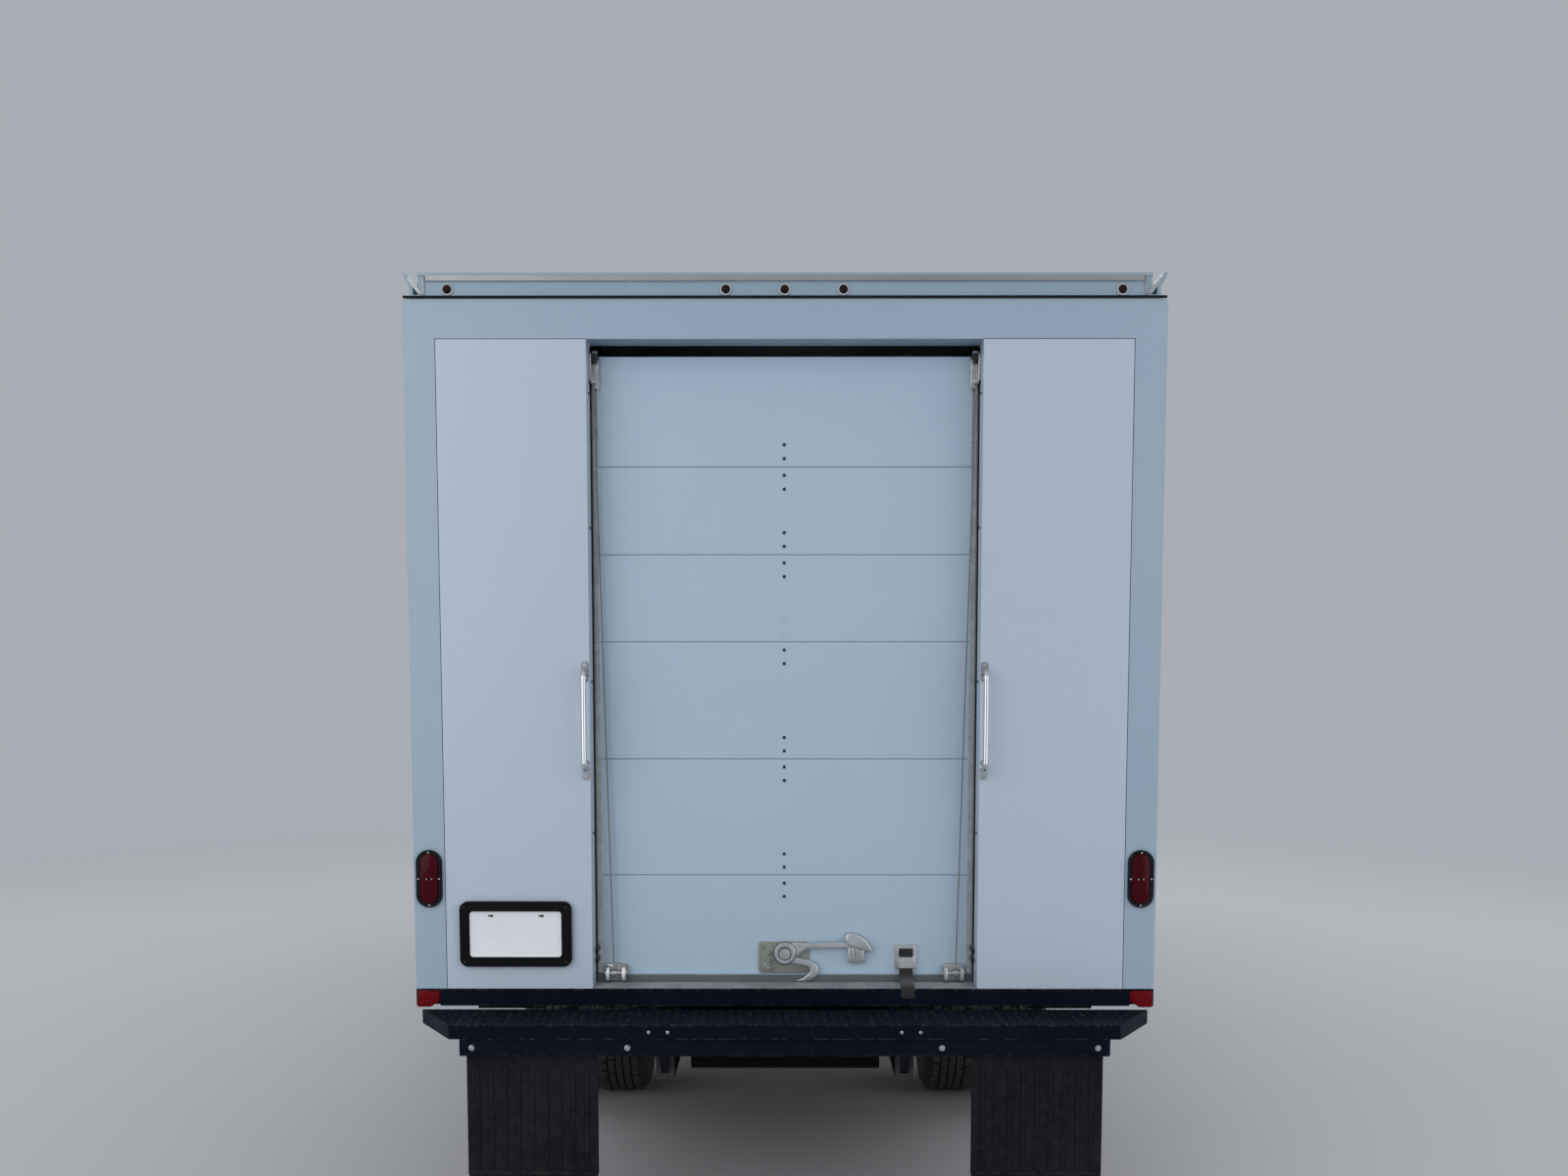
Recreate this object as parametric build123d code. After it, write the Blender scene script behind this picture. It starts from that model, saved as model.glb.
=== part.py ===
from build123d import *
import math
import os

os.makedirs("parts", exist_ok=True)

# Millimetres. +Y is forward, +X is the passenger side, +Z is up, and the origin is on the ground
# under the middle of the vehicle's length.

# Overall layout
front_overhang = 850.0      # front axle to the front of the bumper
cab_reach = 1499.0          # front axle back to the front wall of the box
rear_overhang = 1626.0      # rear axle to the rear face of the box
step_reach = 200.0          # rear face of the box to the edge of the step bumper
box_length = 3658.0
box_width = 2438.0
floor_top = 838.0           # cargo floor above the ground
opening_width = 1270.0
opening_height = 2103.0
wheelbase = box_length + cab_reach - rear_overhang

# Clearances
panel_gap = 5.5             # round doors and hood
seat_gap = 0.3              # between pieces that seat on each other
seam_gap = 0.6              # between the sections of the roller door
pin_gap = 0.05              # radial, round a turning pin

overall_length = front_overhang + wheelbase + rear_overhang + step_reach
front_y = overall_length / 2
front_axle_y = front_y - front_overhang
rear_axle_y = front_axle_y - wheelbase
rear_face_y = rear_axle_y - rear_overhang
box_front_y = rear_face_y + box_length
half_box = box_width / 2
half_opening = opening_width / 2


# Shape helpers: x, y and z are (low, high) pairs, outlines are lists of points
def block(x, y, z):
    sizes = [high - low for low, high in (x, y, z)]
    middles = [(low + high) / 2 for low, high in (x, y, z)]
    return Pos(*middles) * Box(*sizes)


def outline_face(points, radius=0.0):
    face = make_face(Polyline(*points, close=True))
    if radius > 0:
        face = fillet(face.vertices(), radius)
    return face


def inset_points(points, amount):
    # Move every side of a closed outline inwards by amount, outwards where it is negative
    area = sum(a[0] * b[1] - b[0] * a[1] for a, b in zip(points, points[1:] + points[:1]))
    turn = 1 if area > 0 else -1
    moved = []
    for before, here, after in zip(points[-1:] + points[:-1], points, points[1:] + points[:1]):
        first = (Vector(*here) - Vector(*before)).normalized()
        second = (Vector(*after) - Vector(*here)).normalized()
        normal_1 = Vector(-first.Y, first.X) * turn
        normal_2 = Vector(-second.Y, second.X) * turn
        corner = Vector(*here) + (normal_1 + normal_2) * (amount / (1 + normal_1.dot(normal_2)))
        moved.append((corner.X, corner.Y))
    return moved


def side_plane(x):
    return Plane((x, 0, 0), x_dir=(0, 1, 0), z_dir=(1, 0, 0))


def cross_plane(y):
    return Plane((0, y, 0), x_dir=(1, 0, 0), z_dir=(0, -1, 0))


def side_prism(face, x):
    return extrude(side_plane(x[0]) * face, amount=x[1] - x[0])


def cross_prism(face, y):
    return extrude(cross_plane(y[1]) * face, amount=y[1] - y[0])


def plan_prism(face, z):
    return extrude(Pos(0, 0, z[0]) * face, amount=z[1] - z[0])


def mirrored(shape):
    return mirror(shape, Plane.YZ)


def both_sides(shape):
    return [shape, mirrored(shape)]


def rod_x(x, y, z, radius):
    return Pos((x[0] + x[1]) / 2, y, z) * Rot(0, 90, 0) * Cylinder(radius, x[1] - x[0])


def rod_y(x, y, z, radius):
    return Pos(x, (y[0] + y[1]) / 2, z) * Rot(90, 0, 0) * Cylinder(radius, y[1] - y[0])


def rod_z(x, y, z, radius):
    return Pos(x, y, (z[0] + z[1]) / 2) * Cylinder(radius, z[1] - z[0])


def rod_between(start, end, radius):
    path = Line(start, end)
    return sweep(Plane(start, z_dir=path % 0) * Circle(radius), path=path)


def solids_of(shapes):
    found = []
    for shape in shapes if isinstance(shapes, list) else [shapes]:
        found += shape.solids()
    return found


def write(node, shapes):
    solids = solids_of(shapes)
    export_step(solids[0] if len(solids) == 1 else Compound(solids), f"parts/{node}.step")


# Wheels and tyres
tyre_radius = 371.5
tyre_width = 223.0
bead_radius = 206.0
rim_width = 172.0
rim_lip = 16.0              # height of the rim's flange over the bead
rim_wall = 7.0
dual_spacing = 290.0
dual_middle_x = 860.0       # mounting face between the twin wheels
front_wheel_x = 866.0       # middle of the front tyre
disc_wall = 11.0
hub_bore = 62.0
hand_hole_count = 8
hand_hole_radius = 19.0
axle_z = tyre_radius
mount_offset = dual_spacing / 2   # tyre middle to mounting face


def wheel_plane(x, y):
    return Plane((x, y, axle_z), x_dir=(1, 0, 0), z_dir=(0, -1, 0))


def turned(face, x, y):
    return revolve(wheel_plane(x, y) * face, Axis((x, y, axle_z), (1, 0, 0)), 360)


def tyre(x, y):
    half = tyre_width / 2
    bead = bead_radius + seat_gap
    seat = rim_width / 2 - rim_wall - seat_gap
    wall_z = bead + 0.45 * (tyre_radius - bead)
    shoulder = half - 16
    crown = half - 36
    lip = bead_radius + rim_lip + 1
    right_bead = Line((seat, bead), (seat, lip))
    right_wall = ThreePointArc((seat, lip), (half, wall_z), (shoulder, tyre_radius - 16))
    right_edge = ThreePointArc(
        (shoulder, tyre_radius - 16), (shoulder - 6, tyre_radius - 6), (crown, tyre_radius - 3)
    )
    top = ThreePointArc((crown, tyre_radius - 3), (0, tyre_radius), (-crown, tyre_radius - 3))
    left_edge = ThreePointArc(
        (-crown, tyre_radius - 3), (6 - shoulder, tyre_radius - 6), (-shoulder, tyre_radius - 16)
    )
    left_wall = ThreePointArc((-shoulder, tyre_radius - 16), (-half, wall_z), (-seat, lip))
    left_bead = Line((-seat, lip), (-seat, bead))
    base = Line((-seat, bead), (seat, bead))
    edges = [right_bead, right_wall, right_edge, top, left_edge, left_wall, left_bead, base]
    return turned(make_face(edges), x, y)


def rim(x, y, dish):
    # dish is +1 or -1: the side of the tyre's middle that the mounting face lies on
    half = rim_width / 2
    lip = bead_radius + rim_lip
    well = bead_radius - 18
    barrel = outline_face([
        (-half, lip), (rim_wall - half, lip), (rim_wall - half, bead_radius),
        (-half + 40, bead_radius), (-half + 55, well), (half - 55, well),
        (half - 40, bead_radius), (half - rim_wall, bead_radius), (half - rim_wall, lip),
        (half, lip), (half, bead_radius - rim_wall), (half - 40, bead_radius - rim_wall),
        (half - 55, well - rim_wall), (55 - half, well - rim_wall),
        (40 - half, bead_radius - rim_wall), (-half, bead_radius - rim_wall),
    ])
    face_at = mount_offset
    disc = outline_face([
        (dish * (half - 22), bead_radius - 4), (dish * (half - 36), bead_radius - 4),
        (dish * (half - 20), 172), (dish * (face_at - disc_wall - 6), 138),
        (dish * (face_at - disc_wall), 126), (dish * (face_at - disc_wall), hub_bore),
        (dish * face_at, hub_bore), (dish * face_at, 132), (dish * (face_at - 4), 144),
        (dish * (half - 8), 182),
    ])
    wheel = turned(barrel, x, y) + turned(disc, x, y)
    hole_x = x + dish * (half + face_at) / 2
    for number in range(hand_hole_count):
        turn = math.radians(360 / hand_hole_count * (number + 0.5))
        hole_y = y + 156 * math.cos(turn)
        hole_z = axle_z + 156 * math.sin(turn)
        wheel -= rod_x((hole_x - 45, hole_x + 45), hole_y, hole_z, hand_hole_radius)
    return wheel


# Front hub, brake disc and knuckle of the right side
kingpin_x = 800.0
pin_radius = 20.0
eye_radius = 44.0
eye_height = 96.0
fork_gap = 6.0
fork_wall = 22.0
upright_x = kingpin_x + eye_radius + 7
upright_wall = 22.0
spindle_radius = 30.0
spindle_end = upright_x + upright_wall + 74
brake_disc_radius = 165.0
brake_disc_wall = 26.0
hub_back_x = upright_x + upright_wall + 8
front_mount_x = front_wheel_x + mount_offset
hub_radius = 60.0


def front_hub():
    bore = spindle_radius + pin_gap
    middle = front_wheel_x
    disc_end = hub_back_x + brake_disc_wall
    hub = outline_face([
        (hub_back_x - middle, bore), (hub_back_x - middle, brake_disc_radius),
        (disc_end - middle, brake_disc_radius), (disc_end - middle, hub_radius + 14),
        (front_mount_x - disc_wall - 12 - middle, hub_radius + 14),
        (front_mount_x - disc_wall - 12 - middle, 105),
        (front_mount_x - disc_wall - middle, 105),
        (front_mount_x - disc_wall - middle, hub_radius - seat_gap),
        (front_mount_x + 38 - middle, hub_radius - 8), (front_mount_x + 46 - middle, 44),
        (front_mount_x + 46 - middle, 0), (spindle_end + 2 - middle, 0),
        (spindle_end + 2 - middle, bore),
    ])
    return turned(hub, middle, front_axle_y)


def knuckle():
    y = front_axle_y
    reach = (kingpin_x - 34, upright_x + upright_wall)
    upright = block((upright_x, upright_x + upright_wall), (y - 60, y + 60), (axle_z - 110, axle_z + 110))
    upright = fillet(upright.edges().filter_by(Axis.X), 26)
    low = axle_z - eye_height / 2 - fork_gap
    high = axle_z + eye_height / 2 + fork_gap
    shape = upright
    for z in ((low - fork_wall, low), (high, high + fork_wall)):
        arm = block((kingpin_x, reach[1]), (y - 34, y + 34), z) + rod_z(kingpin_x, y, z, 34)
        shape += arm
    shape += rod_z(kingpin_x, y, (low - fork_wall, high + fork_wall), pin_radius)
    shape += rod_x((upright_x, spindle_end), y, axle_z, spindle_radius)
    arm_low = low - fork_wall
    shape += plan_prism(
        outline_face([
            (kingpin_x + 20, y - 20), (kingpin_x - 50, y - 110), (kingpin_x - 70, y - 200),
            (kingpin_x - 100, y - 200), (kingpin_x - 88, y - 96), (kingpin_x - 20, y + 20),
        ]),
        (arm_low, low),
    )
    return shape


# Front axle beam with its coil springs
beam_depth = 70.0
beam_drop = 70.0
beam_height = 84.0
spring_x = 560.0
coil_radius = 56.0
coil_wire = 9.0
coil_turns = 5
coil_top = 600.0


def front_axle():
    low = axle_z - beam_drop
    half_beam = beam_height / 2
    upper = [
        (kingpin_x, axle_z + 36), (spring_x + 110, axle_z + 36), (spring_x + 50, low + half_beam),
    ]
    lower = [
        (spring_x + 40, low - half_beam), (spring_x + 120, axle_z - 40), (kingpin_x, axle_z - 40),
    ]
    outline = upper + [(-x, z) for x, z in reversed(upper)] + [(-x, z) for x, z in reversed(lower)] + lower
    beam = cross_prism(outline_face(outline), (front_axle_y - beam_depth / 2, front_axle_y + beam_depth / 2))
    pocket_depth = 24.0
    pocket = outline_face([
        (-spring_x - 20, low - half_beam + 16), (spring_x + 20, low - half_beam + 16),
        (spring_x + 20, low + half_beam - 16), (-spring_x - 20, low + half_beam - 16),
    ], 12)
    for side in (-1, 1):
        face_y = front_axle_y + side * beam_depth / 2
        beam -= cross_prism(pocket, (face_y - pocket_depth, face_y + pocket_depth))
    for side in (-1, 1):
        x = side * kingpin_x
        eye_z = (axle_z - eye_height / 2, axle_z + eye_height / 2)
        beam += rod_z(x, front_axle_y, eye_z, eye_radius)
        beam -= rod_z(x, front_axle_y, (eye_z[0] - 1, eye_z[1] + 1), pin_radius + pin_gap)
    # Radius arms run back from the beam to the frame
    for side in (-1, 1):
        start = (side * (spring_x - 90), front_axle_y - 5, low)
        end = (side * (rail_outer - rail_flange / 2), front_axle_y - 760, front_rail_bottom - 24)
        beam += rod_between(start, end, 19)
        beam += rod_z(end[0], end[1], (end[2] - 28, front_rail_bottom), 32)
    return beam


def front_spring():
    # A coil between the beam and the tower on the frame
    base_z = axle_z - beam_drop + beam_height / 2 + coil_wire
    turns_height = coil_top - coil_wire - base_z
    path = Pos(spring_x, front_axle_y, base_z) * Helix(turns_height / coil_turns, turns_height, coil_radius)
    start = path @ 0
    wire = sweep(Plane(start, z_dir=path % 0) * RegularPolygon(coil_wire, 6), path=path, is_frenet=True)
    return wire


# Ladder frame
rail_outer = 432.0
rail_flange = 62.0
rail_wall = 7.0
rail_height = 160.0
rail_top = 680.0
front_rail_top = 559.7      # the cab floor lies on it
front_rail_bottom = front_rail_top - rail_height
rail_front_y = front_y - 96
crossmember_height = 110.0
crossmember_width = 90.0


def ladder_frame():
    bend_start = box_front_y - 10
    bend_end = bend_start - 300
    rail_rear_y = rear_face_y + 40
    top = [(rail_front_y, front_rail_top), (bend_start, front_rail_top), (bend_end, rail_top), (rail_rear_y, rail_top)]
    bottom = [(y, z - rail_height) for y, z in reversed(top)]
    rail = side_prism(outline_face(top + bottom), (rail_outer - rail_flange, rail_outer))
    hollow = outline_face(inset_points(top + bottom, rail_wall))
    rail -= side_prism(hollow, (rail_outer - rail_flange - 1, rail_outer - rail_wall))
    frame = rail + mirrored(rail)
    # Crossmembers: place along the frame, top and height
    front_middle = front_rail_top - rail_height / 2 + crossmember_height / 2
    rear_middle = rail_top - rail_height / 2 + crossmember_height / 2
    crossmembers = (
        ("front", rail_front_y - 60 - crossmember_width / 2, front_middle, crossmember_height),
        ("gearbox", front_axle_y - 1180, gearbox_z - gearbox_radius - seat_gap, 48.0),
        ("middle", rear_axle_y + wheelbase * 0.4194, rear_middle, crossmember_height),
        ("ahead_of_springs", rear_axle_y + 760, rear_middle, crossmember_height),
        ("behind_tank", rear_face_y + 330, rear_middle, crossmember_height),
    )
    for name, y, top_z, height in crossmembers:
        z = (top_z - height, top_z)
        span = (y - crossmember_width / 2, y + crossmember_width / 2)
        beam = block((-rail_outer + rail_wall, rail_outer - rail_wall), span, z)
        beam -= block(
            (-rail_outer, rail_outer), (span[0] + rail_wall, span[1] + 1), (z[0] + rail_wall, z[1] - rail_wall)
        )
        frame += beam
    # Spring towers over the front axle
    tower_y = (front_axle_y - 75, front_axle_y + 75)
    tower = block((rail_outer - 2, spring_x + coil_radius + 14), tower_y, (coil_top, coil_top + 10))
    tower += block((rail_outer - 2, rail_outer + 10), tower_y, (front_rail_top - 90, coil_top + 10))
    frame += tower + mirrored(tower)
    return frame


# Rear axle and leaf springs
axle_tube_radius = 48.0
spring_leaf = 12.0
leaf_width = 70.0
leaf_x = 497.0              # middle of each spring
leaf_half_lengths = (690.0, 540.0, 400.0, 260.0)
leaf_rise = 120.0           # height of the main leaf's ends over its middle
drum_radius = 172.0
drum_back_x = dual_middle_x - 118
rear_spindle_radius = 38.0
rear_spindle_length = 60.0


def rear_axle():
    tube_end = drum_back_x - 3
    axle = rod_x((-tube_end, tube_end), rear_axle_y, axle_z, axle_tube_radius)
    axle += rod_x((-tube_end - rear_spindle_length, tube_end + rear_spindle_length), rear_axle_y, axle_z, rear_spindle_radius)
    ball = Pos(0, rear_axle_y, axle_z) * Sphere(155)
    axle += ball
    axle += rod_y(0, (rear_axle_y + 90, rear_axle_y + 250), axle_z, 56)
    seat_z = axle_z + axle_tube_radius
    for side in (-1, 1):
        x = side * leaf_x
        axle += block((x - 42, x + 42), (rear_axle_y - 70, rear_axle_y + 70), (seat_z - 30, seat_z + 14))
    return axle


def leaf_arc(half_length, low_z):
    # Side outline of one leaf, an arc that is lowest over the axle
    radius = (leaf_half_lengths[0] ** 2 + leaf_rise ** 2) / (2 * leaf_rise)
    sag = radius - math.sqrt(radius ** 2 - half_length ** 2)
    lower = ThreePointArc(
        (rear_axle_y - half_length, low_z + sag), (rear_axle_y, low_z), (rear_axle_y + half_length, low_z + sag)
    )
    upper = ThreePointArc(
        (rear_axle_y - half_length, low_z + sag + spring_leaf), (rear_axle_y, low_z + spring_leaf),
        (rear_axle_y + half_length, low_z + sag + spring_leaf),
    )
    ends = [
        Line(lower @ 0, upper @ 0),
        Line(lower @ 1, upper @ 1),
    ]
    return make_face([lower, upper] + ends)


def leaf_spring():
    base_z = axle_z + axle_tube_radius + 14
    x = (leaf_x - leaf_width / 2, leaf_x + leaf_width / 2)
    count = len(leaf_half_lengths)
    spring = None
    for number, half_length in enumerate(leaf_half_lengths):
        low_z = base_z + (count - 1 - number) * spring_leaf
        leaf = side_prism(leaf_arc(half_length, low_z), x)
        spring = leaf if spring is None else spring + leaf
    top_z = base_z + count * spring_leaf
    spring += block((x[0] - 6, x[1] + 6), (rear_axle_y - 62, rear_axle_y + 62), (top_z - 2, top_z + 16))
    eye_z = base_z + (count - 1) * spring_leaf + leaf_rise + 14
    for direction in (-1, 1):
        eye_y = rear_axle_y + direction * leaf_half_lengths[0]
        spring += rod_x(x, eye_y, eye_z, 27)
        # Hanger ahead of the axle, shackle behind it, both bolted to the rail's web
        hanger = block((rail_outer, x[1] + 10), (eye_y - 32, eye_y + 32), (eye_z - 20, eye_z + 66))
        hanger -= block((x[0] - 1, x[1] + 1), (eye_y - 40, eye_y + 40), (eye_z - 40, eye_z + 42))
        spring += hanger + rod_x((x[0] - 8, x[1] + 8), eye_y, eye_z, 10)
    return spring


# Engine, gearbox and shaft, tank and exhaust
engine_half_width = 235.0
engine_front = 380.0        # ahead of the front axle
engine_back = -720.0
engine_z = (430.0, 960.0)
bell_z = 560.0
gearbox_z = 545.0
gearbox_radius = 92.0
gearbox_length = 500.0
shaft_radius = 38.0


def engine_block():
    return block(
        (-engine_half_width, engine_half_width),
        (front_axle_y + engine_back, front_axle_y + engine_front),
        engine_z,
    )


radiator_half = 400.0
radiator_y = (545.0, 600.0)     # ahead of the front axle
radiator_top = 960.0


def radiator():
    # Core between two tanks, on the front ends of the frame rails
    z = (front_rail_top + seat_gap, radiator_top)
    y = (front_axle_y + radiator_y[0], front_axle_y + radiator_y[1])
    core = block((-radiator_half + 40, radiator_half - 40), (y[0] + 8, y[1] - 8), z)
    for side in (-1, 1):
        tank = block((side * (radiator_half - 20) - 22, side * (radiator_half - 20) + 22), y, z)
        core += fillet(tank.edges().filter_by(Axis.Z), 12)
    return core


def driveline():
    back_y = front_axle_y + engine_back
    bell = Pos(0, back_y - seat_gap, bell_z) * Rot(90, 0, 0) * Cone(
        170, 95, 230, align=(Align.CENTER, Align.CENTER, Align.MIN)
    )
    gearbox = rod_y(0, (back_y - 200 - gearbox_length, back_y - 200), gearbox_z, gearbox_radius)
    start = (0, back_y - 180 - gearbox_length, gearbox_z - 5)
    end = (0, rear_axle_y + 255, axle_z)
    return bell + gearbox + rod_between(start, end, shaft_radius)


tank_y = (rear_axle_y - 1120, rear_axle_y - 330)
tank_half_width = rail_outer - rail_flange - 22


def fuel_tank():
    tank = block((-tank_half_width, tank_half_width), tank_y, (rail_top - 270, rail_top - 40))
    tank = fillet(tank.edges().filter_by(Axis.X), 34)
    for y in (tank_y[0] + 180, tank_y[1] - 180):
        strap = block((-tank_half_width - 3, tank_half_width + 3), (y - 20, y + 20), (rail_top - 273, rail_top - 37))
        tank += strap
        tank += block((-rail_outer + rail_wall, rail_outer - rail_wall), (y - 20, y + 20), (rail_top - 60, rail_top - 37))
    return tank


exhaust_radius = 32.0
muffler_radius = 92.0
muffler_ahead = 1181.0      # ahead of the rear axle
muffler_length = 600.0


def exhaust():
    x = 302.0
    z = 362.0
    start_y = front_axle_y + engine_back + 180
    muffler_y = (rear_axle_y + muffler_ahead, rear_axle_y + muffler_ahead + muffler_length)
    outlet_y = rear_axle_y + 560
    path = FilletPolyline(
        (engine_half_width + seat_gap, start_y, engine_z[0] + 45), (x, start_y, engine_z[0] + 45),
        (x, start_y - 220, z), (x, muffler_y[0] - 120, z),
        (x + 250, outlet_y + 130, z - 20), (half_box - 190, outlet_y, z - 20),
        radius=(40, 160, 160, 150),
    )
    pipe = sweep(Plane(path @ 0, z_dir=path % 0) * Circle(exhaust_radius), path=path)
    can = rod_y(x, muffler_y, z, muffler_radius)
    pipe = pipe + fillet(can.edges().filter_by(GeomType.CIRCLE), 22)
    for y in (muffler_y[0] + 120, muffler_y[1] - 120):
        hanger_top = rail_top - rail_height - seat_gap
        pipe += block((x + 30, x + 42), (y - 15, y + 15), (z + 70, hanger_top))
        pipe += block((x + 30, rail_outer - 20), (y - 15, y + 15), (hanger_top - 8, hanger_top))
    return pipe


# Cab body: the outer form is where a side profile, a cross-section and a plan outline meet
cab_half_width = 1000.0
cab_roof_z = 2125.0
sill_bottom = 420.0
wheel_arch_radius = 440.0
door_front = -455.0         # behind the front axle
door_rear = -1385.0
door_bottom = 470.0
door_top = 1960.0
belt_z = 1300.0
side_wall = 64.0
roof_wall = 42.0
hood_wall = 30.0
fender_wall = 42.0
hood_rear = -190.0
hood_half_width = 800.0
screen_base = (-300.0, 1290.0)
screen_top = (-880.0, 2030.0)


def ahead(distance):
    return front_axle_y + distance


def arched_face(right_edge, middle, inset):
    # Outline closed by straight sides below and by an arc through the middle point above
    right = inset_points(right_edge + [(-x, y) for x, y in reversed(right_edge)], inset)[:len(right_edge)]
    left = [(-x, y) for x, y in right]
    arc = ThreePointArc(left[-1], (0, middle - inset), right[-1])
    return make_face([Polyline(*right), Polyline(*left), arc, Line(left[0], right[0])])


def cab_side_face(inset):
    tail = box_front_y - 260
    return outline_face(inset_points([
        (ahead(742), 300), (ahead(778), 1010), (ahead(700), 1100), (ahead(hood_rear), 1262),
        (ahead(screen_base[0]), screen_base[1]), (ahead(screen_top[0]), screen_top[1]),
        (ahead(-1060), 2102), (tail, cab_roof_z + 4), (tail, 300),
    ], inset))


# Right edge of the cab's cross-section, x and z from the sill up
cab_edge = [(940, 300), (978, 640), (cab_half_width, 1000), (986, 1290), (872, 1990), (800, 2074)]


def cab_skin_x(z):
    for low, high in zip(cab_edge, cab_edge[1:]):
        if low[1] <= z <= high[1]:
            return low[0] + (high[0] - low[0]) * (z - low[1]) / (high[1] - low[1])
    return cab_edge[0][0]


def cab_cross_face(inset):
    return arched_face(cab_edge, cab_roof_z + 7, inset)


def cab_plan_face(inset):
    tail = box_front_y - 260
    side = cab_half_width + 4
    edge = [(side, tail), (side, ahead(200)), (968, ahead(560)), (900, ahead(716)), (760, ahead(762))]
    return arched_face(edge, ahead(800), inset)


def cab_form(side_inset=0.0, top_inset=0.0, nose_inset=0.0):
    wide = (-cab_half_width - 50, cab_half_width + 50)
    form = side_prism(cab_side_face(top_inset), wide)
    form &= cross_prism(cab_cross_face(side_inset), (box_front_y - 300, front_y + 50))
    form &= plan_prism(cab_plan_face(nose_inset), (200, cab_roof_z + 60))
    return form


outer_form = cab_form()
side_shell = outer_form - cab_form(side_wall, roof_wall, side_wall)
cab_back_y = box_front_y + seat_gap


def pillar_line_y(z, setback):
    # Distance ahead of the axle of a line parallel to the windshield, set back from it
    rise = screen_top[1] - screen_base[1]
    run = screen_top[0] - screen_base[0]
    length = math.hypot(rise, run)
    start_y = screen_base[0] - setback * rise / length
    start_z = screen_base[1] + setback * run / length
    return start_y + (z - start_z) * run / rise


def pillar_line_z(y, setback):
    rise = screen_top[1] - screen_base[1]
    run = screen_top[0] - screen_base[0]
    length = math.hypot(rise, run)
    start_y = screen_base[0] - setback * rise / length
    start_z = screen_base[1] + setback * run / length
    return start_z + (y - start_y) * rise / run


pillar_setback = 96.0
pillar_foot_z = pillar_line_z(door_front, pillar_setback)
door_points = [
    (ahead(door_rear), door_bottom), (ahead(door_front), door_bottom), (ahead(door_front), pillar_foot_z),
    (ahead(pillar_line_y(door_top, pillar_setback)), door_top), (ahead(door_rear), door_top),
]
window_setback = pillar_setback + 78
window_points = [
    (ahead(door_rear + 66), belt_z), (ahead(pillar_line_y(belt_z, window_setback)), belt_z),
    (ahead(pillar_line_y(door_top - 62, window_setback)), door_top - 62), (ahead(door_rear + 66), door_top - 62),
]
window_face = outline_face(window_points, 26)
glass_depth = 20.0
glass_wall = 6.0
right_half = (200, cab_half_width + 60)


def door():
    panel = side_shell & side_prism(outline_face(inset_points(door_points, panel_gap / 2)), right_half)
    panel -= side_prism(window_face, right_half)
    # Handle recess
    panel -= block((cab_half_width - 26, cab_half_width + 40), (ahead(door_rear + 90), ahead(door_rear + 230)), (1085, 1165))
    handle = block((cab_half_width - 30, cab_half_width - 2), (ahead(door_rear + 96), ahead(door_rear + 224)), (1112, 1138))
    return panel + handle


def door_glass():
    pane = cab_form(glass_depth, roof_wall, glass_depth) - cab_form(glass_depth + glass_wall, roof_wall, glass_depth + glass_wall)
    return pane & side_prism(outline_face(inset_points(window_points, seat_gap), 26), right_half)


mirror_y = door_front - 110
mirror_head_x = (1120.0, 1300.0)
mirror_z = (1210.0, 1580.0)
mirror_arm_z = (1250.0, 1450.0)
mirror_foot_radius = 28.0


def door_mirror():
    y = ahead(mirror_y)
    head = block(mirror_head_x, (y - 45, y + 45), mirror_z)
    head = fillet(head.edges().filter_by(Axis.Y), 34)
    head = chamfer(head.faces().sort_by(Axis.Y)[-1].edges(), 24)
    shape = head
    for z in mirror_arm_z:
        foot_x = cab_skin_x(z - mirror_foot_radius) + seat_gap
        shape += rod_x((foot_x, mirror_head_x[0] + 10), y, z, 13)
        shape += rod_x((foot_x, foot_x + 12), y, z, mirror_foot_radius)
    return shape


screen_half_base = 880.0
screen_half_top = 748.0
screen_slope = math.degrees(math.atan2(screen_top[1] - screen_base[1], screen_base[0] - screen_top[0]))


def screen_plane(depth):
    # On the windshield's outer face: X is the vehicle's X, Y runs up the glass
    middle_y = (screen_base[0] + screen_top[0]) / 2
    middle_z = (screen_base[1] + screen_top[1]) / 2
    normal = (0, math.sin(math.radians(screen_slope)), math.cos(math.radians(screen_slope)))
    origin = Vector(0, ahead(middle_y), middle_z) - Vector(*normal) * depth
    return Plane(origin, x_dir=(1, 0, 0), z_dir=normal)


def screen_face(margin):
    length = math.hypot(screen_top[0] - screen_base[0], screen_top[1] - screen_base[1])
    low = -length / 2 + 34 + margin
    high = length / 2 - 30 - margin
    return outline_face([
        (-screen_half_base + margin, low), (screen_half_base - margin, low),
        (screen_half_top - margin, high), (-screen_half_top + margin, high),
    ], 60)


def windshield():
    return extrude(screen_plane(glass_wall + 6) * screen_face(seat_gap), amount=glass_wall)


def screen_cutter():
    return extrude(screen_plane(160) * screen_face(0), amount=320)


roof_split_z = door_top + 30


def cab_roof():
    roof = outer_form - cab_form(side_wall, roof_wall, side_wall)
    roof &= block((-1100, 1100), (cab_back_y, ahead(0)), (roof_split_z, cab_roof_z + 60))
    return roof - screen_cutter()


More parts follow.
